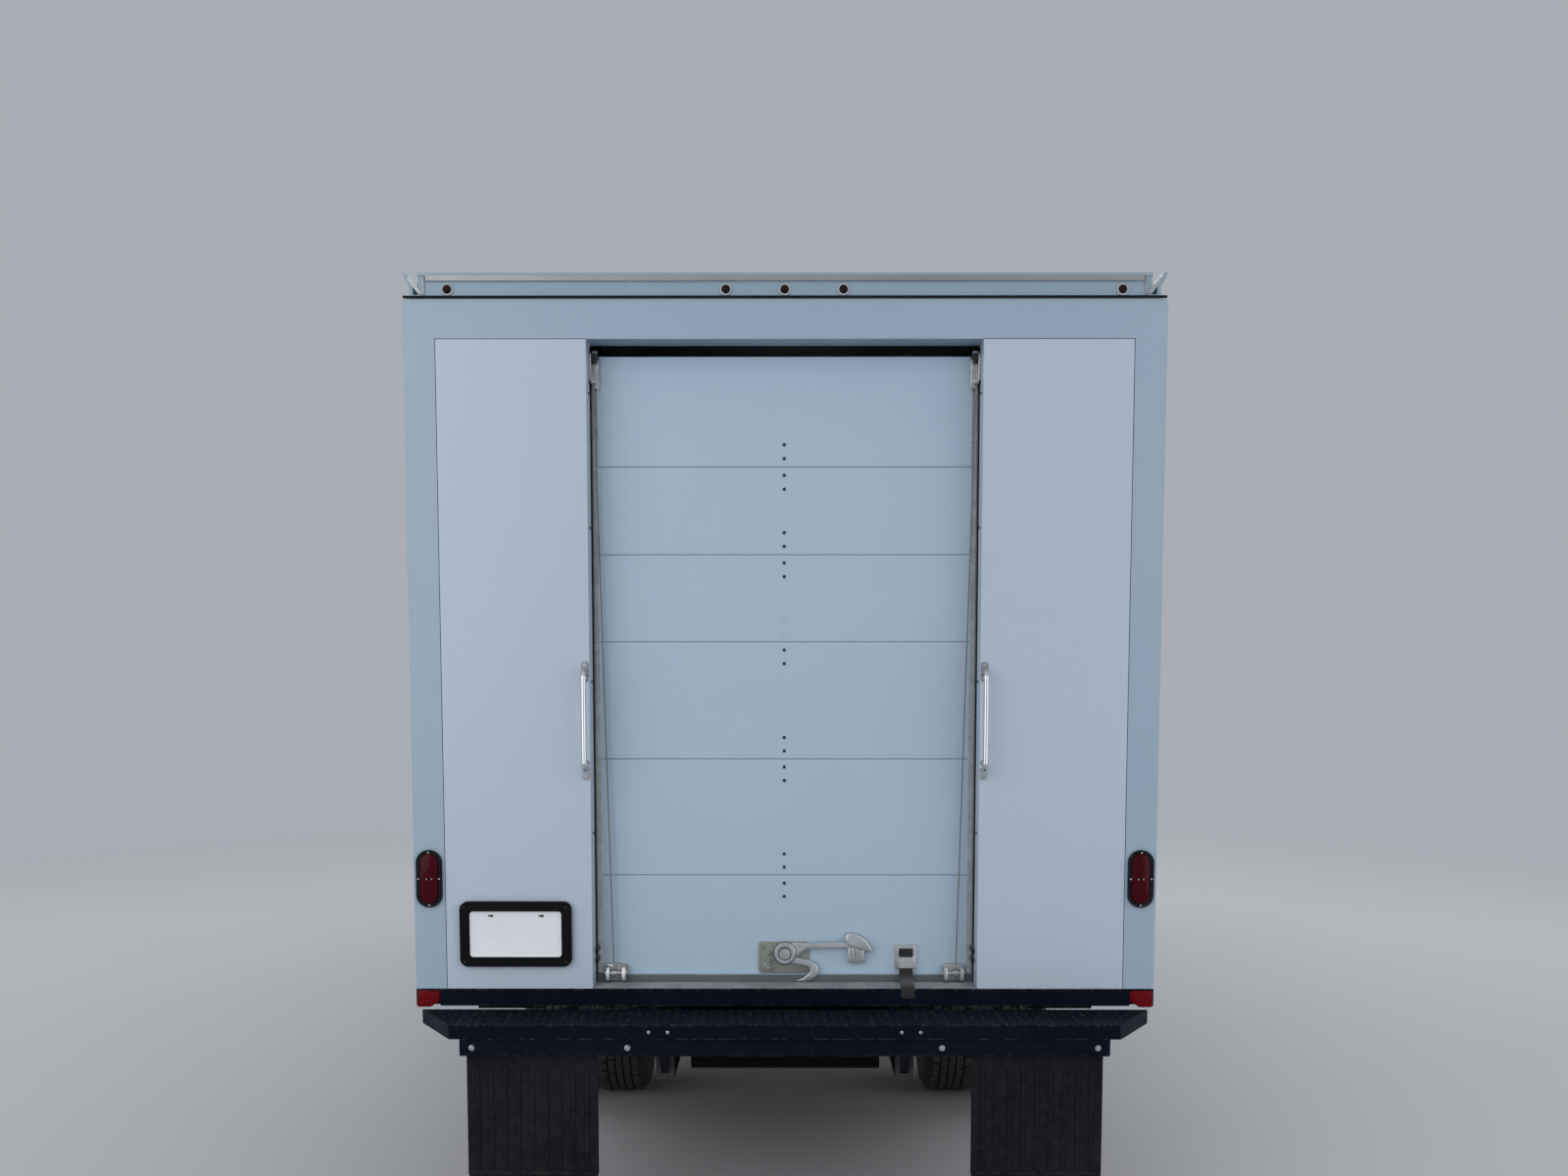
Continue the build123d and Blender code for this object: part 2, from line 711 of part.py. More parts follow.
def cab_side():
    # Rocker, rear pillar and windshield pillar round one door opening
    side = side_shell & block((740, 1100), (cab_back_y, ahead(door_front) + 150), (sill_bottom, roof_split_z))
    side &= side_prism(
        outline_face([
            (cab_back_y, sill_bottom), (ahead(door_front), sill_bottom), (ahead(door_front), pillar_foot_z - 120),
            (ahead(screen_base[0]) + 60, screen_base[1] - 30), (ahead(screen_base[0]) + 60, cab_roof_z + 75),
            (cab_back_y, cab_roof_z + 75),
        ]),
        (700, 1100),
    )
    side -= side_prism(outline_face(inset_points(door_points, -panel_gap / 2)), (600, 1100))
    side -= block((600, hood_half_width + seat_gap), (ahead(screen_base[0]) - 40 - seat_gap, front_y), (1000, 1500))
    return side - screen_cutter()


# Floor, firewall and engine cover
cab_floor_z = (560.0, 600.0)
firewall_y = (-345.0, -325.0)
cowl_shelf_z = (1195.0, 1225.0)
cover_half_width = 280.0
cover_top = 1010.0
cover_back = -960.0
cover_wall = 18.0
tunnel_half_width = 135.0
tunnel_top = 690.0
step_inner_x = 700.0
wheel_house_radius = 425.0  # round the kingpin, clear of the steered tyre
wheel_house_top = 664.0


def hump(half, y, z, radius):
    shape = block((-half, half), y, z)
    return fillet(shape.edges().filter_by(Axis.Y).sort_by(Axis.Z)[-2:], radius)


def cab_floor():
    half = cab_half_width
    floor = block((-half, half), (cab_back_y, ahead(firewall_y[0])), cab_floor_z)
    firewall = block((-half, half), (ahead(firewall_y[0]), ahead(firewall_y[1])), (cab_floor_z[0], cowl_shelf_z[0] - seat_gap))
    cover_y = (ahead(cover_back), ahead(firewall_y[0]) + 10)
    tunnel_y = (cab_back_y, ahead(cover_back) + 5)
    shape = floor + firewall
    shape += hump(cover_half_width, cover_y, (cab_floor_z[1] - 5, cover_top), 70)
    shape += hump(tunnel_half_width, tunnel_y, (cab_floor_z[1] - 5, tunnel_top), 60)
    # Door steps hang below the floor at each side
    step = block((step_inner_x, half), (ahead(door_rear) + 60, ahead(door_front) - 110), (sill_bottom + 20, cab_floor_z[0] + 1))
    shape += step + mirrored(step)
    cover_hollow_y = (cover_y[0] + cover_wall, ahead(firewall_y[1]) + 10)
    hollow_low = cab_floor_z[0] - 5
    shape -= hump(cover_half_width - cover_wall, cover_hollow_y, (hollow_low, cover_top - cover_wall), 52)
    tunnel_hollow_y = (cab_back_y - 5, cover_hollow_y[0] + 5)
    shape -= hump(tunnel_half_width - cover_wall, tunnel_hollow_y, (hollow_low, tunnel_top - cover_wall), 42)
    # Wheel houses let into the toe board, where the steered tyres swing
    for side in (-1, 1):
        x = side * kingpin_x
        skin = rod_z(x, front_axle_y, (cab_floor_z[0], wheel_house_top + cover_wall), wheel_house_radius + cover_wall)
        shape += skin & block((-half, half), (cab_back_y, ahead(firewall_y[1])), (sill_bottom, cover_top))
        shape -= rod_z(x, front_axle_y, (sill_bottom, wheel_house_top), wheel_house_radius)
    shape &= cab_form(side_wall + panel_gap, roof_wall, side_wall)
    lip = block((step_inner_x, half), (ahead(door_rear) + 60, ahead(door_front) - 110), (sill_bottom + 5, sill_bottom + 35))
    lip &= cab_form(side_wall + seat_gap, roof_wall, side_wall)
    return shape + lip + mirrored(lip)


# Cowl, fenders, hood, grille and lamps
def cowl():
    shell = outer_form - cab_form(fender_wall, hood_wall, fender_wall)
    top = shell & block((-1100, 1100), (ahead(screen_base[0]) - 40, ahead(hood_rear) - panel_gap), (1150, 1400))
    top &= block((-hood_half_width, hood_half_width), (ahead(-500), ahead(0)), (1100, 1400))
    shelf = block((-hood_half_width, hood_half_width), (ahead(firewall_y[0]), ahead(hood_rear) - panel_gap), cowl_shelf_z)
    wall = block(
        (-hood_half_width, hood_half_width), (ahead(hood_rear) - panel_gap - 24, ahead(hood_rear) - panel_gap),
        (cowl_shelf_z[0], 1300),
    )
    return top + (wall & outer_form) + shelf - screen_cutter()


def fender():
    shell = outer_form - cab_form(fender_wall, fender_wall, fender_wall)
    region = side_prism(
        outline_face([
            (ahead(door_front) + panel_gap, sill_bottom), (ahead(530), sill_bottom), (ahead(530), nose_bottom),
            (ahead(760), nose_bottom), (ahead(760), 1300),
            (ahead(screen_base[0]) + 70, 1300), (ahead(screen_base[0]) + 62, screen_base[1] - 30 - panel_gap),
            (ahead(door_front) + panel_gap, pillar_foot_z - 122 - panel_gap),
        ]),
        (hood_half_width + panel_gap, 1100),
    )
    panel = shell & region
    panel -= block((0, 1100), (ahead(nose_back), ahead(900)), (0, 1400))
    panel -= rod_x((500, 1100), front_axle_y, axle_z, wheel_arch_radius)
    # Door hinge pins in the gap, each on a tab
    for z in door_hinge_z:
        panel += rod_z(cab_half_width, ahead(door_front), z, hinge_pin_radius)
        panel += block((cab_half_width - 20, cab_half_width), (ahead(door_front), ahead(door_front) + panel_gap + 1), z)
    return panel


nose_back = 640.0
door_hinge_z = ((830.0, 890.0), (970.0, 1030.0))   # the lower end of each pin, and its upper end
hinge_pin_radius = panel_gap / 2 - seat_gap
grille_half = 520.0
grille_z = (700.0, 985.0)
lamp_x = (560.0, 880.0)
lamp_z = (745.0, 955.0)
nose_bottom = 656.0
hood_front_z = 1030.0


def nose_panel():
    shell = outer_form - cab_form(fender_wall, fender_wall, 60)
    nose_y = (ahead(nose_back) + seat_gap, ahead(900))
    panel = shell & block((-1100, 1100), nose_y, (nose_bottom, hood_front_z - panel_gap))
    side = shell & block((hood_half_width + panel_gap, 1100), nose_y, (nose_bottom, 1300))
    panel = panel + side + mirrored(side)
    panel -= block((-grille_half, grille_half), (ahead(500), ahead(900)), grille_z)
    for x in (lamp_x, (-lamp_x[1], -lamp_x[0])):
        panel -= block(x, (ahead(600), ahead(900)), lamp_z)
    bar_count = 7
    pitch = (grille_z[1] - grille_z[0]) / (bar_count + 1)
    bars = cab_form(fender_wall, fender_wall, 10) - cab_form(fender_wall, fender_wall, 44)
    for number in range(bar_count):
        z = grille_z[0] + pitch * (number + 1)
        panel += bars & block((-grille_half - 2, grille_half + 2), (ahead(500), ahead(900)), (z - 6, z + 6))
    # Rubber stops under the hood's edge, and feet on the frame rails
    for side in (-1, 1):
        panel += rod_z(side * 600, ahead(742), (hood_front_z - panel_gap - 4, hood_front_z - seat_gap), 9)
        foot_x = side * (rail_outer - rail_flange / 2)
        panel += block((foot_x - 24, foot_x + 24), (ahead(660), ahead(735)), (front_rail_top + seat_gap, nose_bottom + 30))
    for x in (-grille_half / 3, grille_half / 3):
        panel += bars & block((x - 7, x + 7), (ahead(500), ahead(900)), (grille_z[0] - 2, grille_z[1] + 2))
    return panel


def headlamp():
    lens = cab_form(4, 4, 4) - cab_form(fender_wall, fender_wall, 60)
    return lens & block(
        (lamp_x[0] + seat_gap, lamp_x[1] - seat_gap), (ahead(600), ahead(900)), (lamp_z[0] + seat_gap, lamp_z[1] - seat_gap)
    )


def hood():
    shell = outer_form - cab_form(hood_wall, hood_wall, 60)
    region = block((-hood_half_width, hood_half_width), (ahead(hood_rear), ahead(900)), (hood_front_z, 1400))
    return shell & region


# Front bumper and radiator panel
bumper_z = (430.0, 650.0)
bumper_wall = 12.0
bumper_depth = 96.0


def front_bumper():
    def bar(inset):
        edge = [(960 - inset, front_y - 330), (940 - inset, front_y - 120), (820, front_y - 42 - inset)]
        right = Polyline(*edge)
        left = Polyline(*[(-x, y) for x, y in edge])
        nose = ThreePointArc((-820, front_y - 42 - inset), (0, front_y - inset), (820, front_y - 42 - inset))
        base = Line((-960 + inset, front_y - 330), (960 - inset, front_y - 330))
        return make_face([right, left, nose, base])

    shape = plan_prism(bar(0), bumper_z) - plan_prism(bar(bumper_wall), (bumper_z[0] - 1, bumper_z[1] + 1))
    shape -= block((-1100, 1100), (front_y - 400, front_y - 300), (0, 1000))
    lip = (plan_prism(bar(0), (bumper_z[1] - bumper_wall, bumper_z[1])) - plan_prism(bar(70), (bumper_z[0], bumper_z[1] + 1)))
    lip -= block((-1100, 1100), (front_y - 400, front_y - 300), (0, 1000))
    shape += lip
    for side in (-1, 1):
        x = side * (rail_outer - rail_flange / 2)
        shape += block((x - 30, x + 30), (rail_front_y, front_y - 14), (front_rail_bottom + 10, front_rail_top - 10))
    for side in (-1, 1):
        hole_x = side * plate_hole_spacing / 2
        shape -= rod_y(hole_x, (front_y - 60, front_y + 20), plate_hole_z, plate_hole_radius)
    return shape


plate_hole_spacing = 177.8
plate_hole_radius = 3.5
plate_hole_z = 560.0


# Cab interior
wheel_x = -545.0
wheel_centre = (wheel_x, ahead(-780), 1185.0)
wheel_tilt = 32.0
column_radius = 34.0


def column_place():
    return Pos(*wheel_centre) * Rot(-90 - wheel_tilt, 0, 0)


def dashboard():
    profile = outline_face([
        (ahead(firewall_y[0]) - seat_gap, 900), (ahead(firewall_y[0]) - seat_gap, 1190), (ahead(-470), 1200), (ahead(-620), 1175),
        (ahead(-650), 1110), (ahead(-590), 900),
    ], 18)
    panel = side_prism(profile, (-895, 895))
    over_cover = block((-cover_half_width - 1, cover_half_width + 1), (ahead(-700), ahead(-300)), (800, cover_top + 2))
    return panel - over_cover - column_place() * Pos(0, 0, 200) * Cylinder(column_radius + seat_gap, 400)


def steering_wheel():
    ring = Torus(188, 15)
    hub = Cylinder(48, 34)
    spokes = Box(350, 34, 16) + Pos(0, -90, 0) * Box(30, 180, 14)
    column = Pos(0, 0, 130) * Cylinder(column_radius, 240)
    return column_place() * (ring + hub + spokes + column)


seat_x = 545.0
seat_half_width = 235.0
seat_front = -880.0
seat_back = -1340.0
cushion_z = (790.0, 920.0)


def seat_frame():
    base = block((seat_x - 190, seat_x + 190), (ahead(seat_back) + 40, ahead(seat_front) - 60), (cab_floor_z[1], cushion_z[0] - seat_gap))
    base = chamfer(base.faces().sort_by(Axis.Z)[-1].edges().filter_by(Axis.X), 30)
    return base


def seat_pads():
    cushion = block((seat_x - seat_half_width, seat_x + seat_half_width), (ahead(seat_back), ahead(seat_front)), cushion_z)
    cushion = fillet(cushion.edges().filter_by(Axis.X), 40)
    low = cushion_z[1] + seat_gap
    back = side_prism(
        outline_face([
            (ahead(seat_back) + 10, low), (ahead(seat_back) + 120, low), (ahead(seat_back) + 20, 1560),
            (ahead(seat_back) - 60, 1560), (ahead(seat_back) - 100, low),
        ], 24),
        (seat_x - seat_half_width, seat_x + seat_half_width),
    )
    rest = side_prism(
        outline_face([
            (ahead(seat_back) + 14, 1570), (ahead(seat_back) - 66, 1570), (ahead(seat_back) - 84, 1750), (ahead(seat_back) + 4, 1750),
        ], 24),
        (seat_x - 130, seat_x + 130),
    )
    neck = rod_z(seat_x, ahead(seat_back) - 25, (1550, 1580), 30)
    return cushion, back + rest + neck


# Box body
wall = 25.0
deck = 32.0
cross_sill_height = 76.0
long_sill_height = 50.0
deck_low = floor_top - deck
sill_low = deck_low - cross_sill_height
skirt_low = floor_top - 58
post_width = 103.0
header_height = 125.0
opening_top = floor_top + opening_height
header_top = opening_top + header_height
box_side_top = header_top + 14
roof_top_z = header_top + 70
front_corner_radius = 80.0
front_wall = 32.0
walkway_half = 330.0
walkway_top = 1960.0
frame_depth = 100.0         # depth of the rear posts, header and jambs
threshold_depth = 66.0      # the sill's tread, which the roller door and its tracks stand on


def box_floor():
    half = half_box - wall - seat_gap
    deck_y = (rear_face_y + frame_depth + threshold_depth, box_front_y - front_wall - seat_gap)
    floor = block((-half, half), deck_y, (deck_low, floor_top))
    return fillet(floor.edges().filter_by(Axis.Z).sort_by(Axis.Y)[-2:], front_corner_radius - wall)


def long_sill():
    top = deck_low - cross_sill_height
    return block((rail_outer - rail_flange, rail_outer), (rear_face_y + frame_depth, box_front_y - 40), (rail_top, top))


def cross_sills():
    # Channels across the box, shorter where the twin wheels stand below them
    pitch = 406.0
    first = rear_face_y + frame_depth + 150
    count = int((box_length - frame_depth - 300) // pitch) + 1
    sills = []
    for number in range(count):
        y = first + number * pitch
        over_wheels = abs(y - rear_axle_y) < tyre_radius + 60
        half = dual_middle_x - dual_spacing / 2 - tyre_width / 2 - 40 if over_wheels else half_box - wall - 2
        sill = block((-half, half), (y - 22, y + 22), (sill_low, deck_low))
        sill -= block((-half - 1, half + 1), (y - 16, y + 23), (sill_low + 6, deck_low - 6))
        sills.append(sill)
    return sills


def box_side_wall():
    inner = half_box - wall
    panel = block((inner, half_box), (rear_face_y + frame_depth + seat_gap, box_front_y - front_corner_radius), (skirt_low, box_side_top))
    corner = plan_prism(
        make_face([
            Line((half_box, box_front_y - front_corner_radius), (inner, box_front_y - front_corner_radius)),
            ThreePointArc(
                (inner, box_front_y - front_corner_radius),
                (
                    half_box - front_corner_radius + (front_corner_radius - wall) * math.cos(math.pi / 4),
                    box_front_y - front_corner_radius + (front_corner_radius - wall) * math.sin(math.pi / 4),
                ),
                (half_box - front_corner_radius, box_front_y - wall),
            ),
            Line((half_box - front_corner_radius, box_front_y - wall), (half_box - front_corner_radius, box_front_y)),
            ThreePointArc(
                (half_box - front_corner_radius, box_front_y),
                (
                    half_box - front_corner_radius + front_corner_radius * math.cos(math.pi / 4),
                    box_front_y - front_corner_radius + front_corner_radius * math.sin(math.pi / 4),
                ),
                (half_box, box_front_y - front_corner_radius),
            ),
        ]),
        (skirt_low, box_side_top),
    )
    return panel + corner


def box_front_wall():
    half = half_box - front_corner_radius - seat_gap
    panel = block((-half, half), (box_front_y - front_wall, box_front_y), (skirt_low, box_side_top))
    door_way = cross_prism(
        outline_face([
            (-walkway_half, floor_top), (walkway_half, floor_top), (walkway_half, walkway_top), (-walkway_half, walkway_top),
        ]),
        (box_front_y - front_wall - 10, box_front_y + 10),
    )
    door_way = fillet(door_way.edges().filter_by(Axis.Y).sort_by(Axis.Z)[-2:], 60)
    return panel - door_way


rail_size = 70.0
rail_shell = 6.0


def roof_rail():
    # Angle along the top edge of the box, its outer corner rounded
    def section(inset):
        return [
            (half_box - rail_size, box_side_top + seat_gap), (half_box, box_side_top + seat_gap),
            (half_box, roof_top_z - 6), (half_box - 14, roof_top_z), (half_box - rail_size, roof_top_z),
        ]

    outer = fillet(outline_face(section(0)).vertices().sort_by(Axis.X)[-2:], 6)
    return cross_prism(outer, (rear_face_y + frame_depth, box_front_y - 30))


def box_roof():
    inner = half_box - rail_size - seat_gap
    z_edge = roof_top_z - 26
    bottom = Line((-inner, z_edge - 20), (inner, z_edge - 20))
    right = Line((inner, z_edge - 20), (inner, z_edge + 14))
    crown = ThreePointArc((inner, z_edge + 14), (0, roof_top_z), (-inner, z_edge + 14))
    left = Line((-inner, z_edge + 14), (-inner, z_edge - 20))
    return cross_prism(make_face([bottom, right, crown, left]), (rear_face_y + frame_depth, box_front_y - 30))


# Rear frame, side panels, sill and cap
panel_wall = 30.0
sill_z = (skirt_low, floor_top)


def rear_posts():
    depth = (rear_face_y, rear_face_y + frame_depth)
    portal = block((-half_box, half_box), depth, (floor_top, header_top))
    portal -= block((-half_box + post_width, half_box - post_width), (depth[0] - 1, depth[1] + 1), (floor_top - 1, opening_top))
    portal = fillet(portal.edges().filter_by(Axis.Y).filter_by(lambda edge: abs(edge.center().X) > half_box - 1 and edge.center().Z > header_top - 1), 18)
    hollow_x = (-half_box + post_width, half_box - post_width)
    portal -= block(hollow_x, (rear_face_y + panel_wall, depth[1] + 1), (opening_top + panel_wall, header_top - panel_wall))
    recess = Pos(tail_lamp_x, tail_lamp_z) * oval_face(tail_lamp_width + 2 * seat_gap, tail_lamp_height + 2 * seat_gap)
    recess = cross_prism(recess, (rear_face_y - 1, rear_face_y + lamp_recess + seat_gap))
    portal -= recess + mirrored(recess)
    return portal


def rear_panel():
    x = (half_opening, half_box - post_width - seat_gap)
    z = (floor_top, opening_top - seat_gap)
    panel = block(x, (rear_face_y, rear_face_y + panel_wall), z)
    jamb = block((half_opening, half_opening + panel_wall), (rear_face_y, rear_face_y + frame_depth), z)
    return panel + jamb


def rear_sill():
    sill = block((-half_box, half_box), (rear_face_y, rear_face_y + frame_depth), (skirt_low, floor_top - seat_gap))
    tread_half = half_box - wall - seat_gap
    tread_y = (rear_face_y + frame_depth - 1, rear_face_y + frame_depth + threshold_depth - seat_gap)
    sill += block((-tread_half, tread_half), tread_y, (deck_low, floor_top - seat_gap))
    for x in ((1140.0, 1215.0), (-1215.0, -1140.0)):
        sill -= block(x, (rear_face_y - 1, rear_face_y + 22), (sill_z[0] - 20, sill_z[1] - 6))
    return sill


cap_z = (header_top + seat_gap, header_top + 80)


def rear_cap():
    depth = (rear_face_y, rear_face_y + frame_depth)
    half = half_box - 52
    band = block((-half, half), depth, (cap_z[0], cap_z[1] - 10))
    trim = block((-half, half), (rear_face_y - 4, depth[1]), (cap_z[1] - 10, cap_z[1]))
    cap = band + trim
    # Flared rail ends at both corners
    end = outline_face([
        (half, cap_z[0]), (half_box - 24, cap_z[0]), (half_box - 24, cap_z[0] + 40), (half_box, cap_z[1]),
        (half_box - 16, cap_z[1]), (half_box - 36, cap_z[0] + 46), (half_box - 36, cap_z[0] + 12), (half, cap_z[0] + 12),
    ])
    ends = cross_prism(end, depth)
    cap += ends + mirrored(ends)
    for x in marker_xs:
        cap -= rod_y(x, (rear_face_y - 10, rear_face_y + 22), marker_z, marker_radius + seat_gap)
    return cap


# Lamps
marker_xs = (-1073.0, -187.0, 0.0, 187.0, 1073.0)
marker_radius = 17.0
marker_z = 3104.0 - 10
tail_lamp_x = 1168.0
tail_lamp_z = 1205.0
tail_lamp_height = 190.0
tail_lamp_width = 84.0
lamp_recess = 12.0


def marker_lamps():
    lamps = []
    for x in marker_xs:
        body = rod_y(x, (rear_face_y - 9, rear_face_y + 20), marker_z, marker_radius)
        lamps.append(fillet(body.edges().filter_by(GeomType.CIRCLE).sort_by(Axis.Y)[0], 6))
        front = rod_y(x, (box_front_y + seat_gap, box_front_y + 14), box_side_top - 40, marker_radius)
        lamps.append(front)
    return lamps


def oval_face(width, height):
    return SlotOverall(height, width, rotation=90)


def tail_lamp():
    outline = Pos(tail_lamp_x, tail_lamp_z) * oval_face(tail_lamp_width, tail_lamp_height)
    lens = cross_prism(outline, (rear_face_y - 12, rear_face_y + lamp_recess))
    lens = fillet(lens.faces().sort_by(Axis.Y)[0].edges(), 7)
    corner = cross_prism(
        outline_face([
            (1140 + seat_gap, 832), (1215 - seat_gap, 832), (1215 - seat_gap, 776), (1172, 776), (1140 + seat_gap, 797),
        ]),
        (rear_face_y - 8, rear_face_y + 22 - seat_gap),
    )
    return lens, corner


# Roller door
section_heights = (363.0, 391.0, 389.0, 286.0, 285.0, 356.0)   # from the bottom up
door_recess = frame_depth + seat_gap
section_wall = 24.0
door_overlap = 22.0
bottom_rail_height = 29.0


def roller_door():
    half = half_opening + door_overlap
    y = (rear_face_y + door_recess, rear_face_y + door_recess + section_wall)
    z = floor_top + seat_gap
    sections = []
    for number, height in enumerate(section_heights):
        section = block((-half, half), y, (z, z + height - seam_gap))
        outer_edges = section.faces().sort_by(Axis.Y)[0].edges().filter_by(Axis.X)
        section = chamfer(outer_edges, 3)
        if number == 0:
            rail = block((3 - anchor_x[0], anchor_x[0] - 3), (y[0] - 12, y[0] + 1), (z, z + bottom_rail_height))
            section += rail
            for groove in range(3):
                groove_z = z + 6 + groove * 8
                section -= block((-half, half), (y[0] - 13, y[0] - 9), (groove_z, groove_z + 3))
        sections.append(section)
        z += height
    return sections


track_x = (half_opening + door_overlap + 3, half_opening + door_overlap + 50)
track_wall = 3.0
track_bend = 190.0
track_run = 2150.0
track_strap_shares = (0.09, 0.46, 0.9)   # heights up the opening


def door_track():
    # Channel that stands behind the jamb and turns forward under the roof
    x_mid = (track_x[0] + track_x[1]) / 2
    y_mid = rear_face_y + door_recess + section_wall + 20
    z_top = box_side_top - 60
    path = FilletPolyline(
        (x_mid, y_mid, floor_top + seat_gap), (x_mid, y_mid, z_top), (x_mid, y_mid + track_run, z_top), radius=track_bend
    )
    section = Rectangle(track_x[1] - track_x[0], 36)
    section -= Pos(-track_wall, 0) * Rectangle(track_x[1] - track_x[0], 36 - 2 * track_wall)
    track = sweep(Plane(path @ 0, x_dir=(1, 0, 0), z_dir=(0, 0, 1)) * section, path=path)
    # Straps to the jamb and the wall
    for z in (floor_top + opening_height * share for share in track_strap_shares):
        track += block((half_opening + 2, track_x[1]), (rear_face_y + frame_depth + section_wall + 2, y_mid - 18 + track_wall), (z - 20, z + 20))
    return track


hinge_xs = (-420.0, 0.0, 420.0)
roller_radius = 14.0
roller_stem_radius = 5.0


def door_hinges():
    # Inside the door: butt hinges over each seam, and end hinges whose rollers run in the tracks
    face_y = rear_face_y + door_recess + section_wall + seat_gap
    stem_y = rear_face_y + door_recess + section_wall + 20
    edge_x = half_opening + door_overlap
    pieces = []
    z = floor_top + seat_gap
    for height in section_heights[:-1]:
        z += height
        for x in hinge_xs:
            leaf = block((x - 32, x + 32), (face_y, face_y + 4), (z - 38, z + 38))
            pieces.append(leaf + rod_x((x - 32, x + 32), face_y + 7, z, 7))
        bracket = block((edge_x - 62, edge_x - 6), (face_y, face_y + 4), (z - 42, z + 42))
        bracket += block((edge_x - 62, edge_x - 56), (face_y, stem_y + 9), (z - 20, z + 20))
        bracket += block((edge_x - 12, edge_x - 6), (face_y, stem_y + 9), (z - 20, z + 20))
        bracket += rod_x((edge_x - 64, track_x[0] + 8), stem_y, z, roller_stem_radius)
        bracket += rod_x((track_x[0] + 6, track_x[0] + 30), stem_y, z, roller_radius)
        pieces.append(bracket)
        pieces.append(mirrored(bracket))
    return pieces


# Door furniture
cable_radius = 2.5
cable_y = rear_face_y + door_recess - 26
cable_low = (half_opening - 62, floor_top + 67)
cable_high = (half_opening - 14, opening_top - 119)
anchor_x = (half_opening - 102, half_opening - 35)
anchor_z = (floor_top + 8, floor_top + 59)


def door_cable():
    low = (cable_low[0], cable_y, cable_low[1] - 30)
    high = (cable_high[0], cable_y, cable_high[1])
    cable = rod_between(low, high, cable_radius)
    cheeks = None
    for x in ((anchor_x[0], anchor_x[0] + 12), (anchor_x[1] - 12, anchor_x[1])):
        cheek = block(x, (cable_y - 12, rear_face_y + door_recess - 12), anchor_z)
        cheeks = cheek if cheeks is None else cheeks + cheek
    back = block(anchor_x, (rear_face_y + door_recess - 16, rear_face_y + door_recess - seat_gap), anchor_z)
    pin = rod_x(anchor_x, cable_y, cable_low[1] - 32, 7)
    bracket = block((cable_high[0] - 9, half_opening - seat_gap), (cable_y - 14, cable_y + 14), (cable_high[1] - 8, cable_high[1] + 2))
    strip = block((half_opening - 12, half_opening - seat_gap), (cable_y - 14, cable_y + 14), (cable_high[1] - 8, opening_top - 30))
    roller = rod_y(half_opening - 15, (cable_y - 14, cable_y + 14), opening_top - 44, 14)
    return cable + cheeks + back + pin + bracket + strip + roller


latch_z = 940.0
plate_x = (-88.0, 82.0)
plate_z = (869.0, 975.0)


def door_latch():
    face_y = rear_face_y + door_recess - seat_gap
    plate = fillet(block(plate_x, (face_y - 5, face_y), plate_z).edges().filter_by(Axis.Y), 10)
    disc = rod_y(0, (face_y - 24, face_y - 4), latch_z, 38) + rod_y(0, (face_y - 30, face_y - 4), latch_z, 20)
    lever = cross_prism(
        outline_face([(0, 955), (235, 957), (235, 979), (0, 981)], 4),
        (face_y - 22, face_y - 12),
    )
    keeper = cross_prism(
        outline_face([(205, 880), (285, 880), (297, 930), (290, 1000), (230, 1000), (205, 950)], 14),
        (face_y - 34, face_y),
    )
    hook = cross_prism(
        outline_face([
            (30, 935), (70, 905), (114, 884), (102, 858), (62, 841), (36, 846), (62, 862), (76, 880), (44, 898), (14, 918),
        ], 3),
        (face_y - 30, face_y - 16),
    )
    return plate + disc + lever + keeper + hook


strap_x = (382.0, 432.0)
strap_bracket_z = (882.0, 966.0)


def strap_bracket():
    face_y = rear_face_y + door_recess - seat_gap
    plate = block((370, 444), (face_y - 6, face_y), strap_bracket_z)
    loop = block((374, 440), (face_y - 20, face_y - 5), (926, 958)) - block((382 - 1, 432 + 1), (face_y - 14, face_y - 6), (900, 970))
    return plate + loop


def pull_strap():
    face_y = rear_face_y + door_recess - seat_gap
    profile = outline_face([
        (face_y - 10, 945), (face_y - 13, 945), (face_y - 16, floor_top + 36), (rear_face_y - 6, floor_top + 6),
        (rear_face_y - 6, 806), (rear_face_y - 3, 806), (rear_face_y - 3, floor_top + 2), (face_y - 13, floor_top + 33),
    ])
    return side_prism(profile, (strap_x[0] + 2, strap_x[1] - 2))


handle_x = half_opening + 13
handle_z = (1541.0, 1905.0)
handle_stand = 48.0


def grab_handle():
    y = rear_face_y - seat_gap
    path = FilletPolyline(
        (handle_x, y, handle_z[0] + 22), (handle_x, y - handle_stand, handle_z[0] + 22),
        (handle_x, y - handle_stand, handle_z[1] - 22), (handle_x, y, handle_z[1] - 22), radius=24,
    )
    bar = sweep(Plane(path @ 0, z_dir=path % 0) * Circle(8.5), path=path)
    for z in (handle_z[0] + 22, handle_z[1] - 22):
        bar += fillet(block((handle_x - 12, handle_x + 12), (y - 5, y), (z - 32, z + 32)).edges().filter_by(Axis.Y), 11)
    return bar


plate_centre = (-half_opening - 250, floor_top + 184)
holder_size = (367.0, 216.0)


def plate_holder():
    face_y = rear_face_y - seat_gap
    x, z = plate_centre
    outer = RectangleRounded(holder_size[0], holder_size[1], 27)
    pocket = Rectangle(309, 156)
    place = cross_plane(face_y) * Pos(x, z)
    holder = extrude(place * outer, amount=20)
    holder -= extrude(cross_plane(face_y - 10) * Pos(x, z) * pocket, amount=20)
    return chamfer(holder.faces().sort_by(Axis.Y)[0].edges().filter_by(GeomType.LINE).filter_by(lambda edge: abs(edge.center().X - x) > 160 or abs(edge.center().Z - z) > 100), 4)


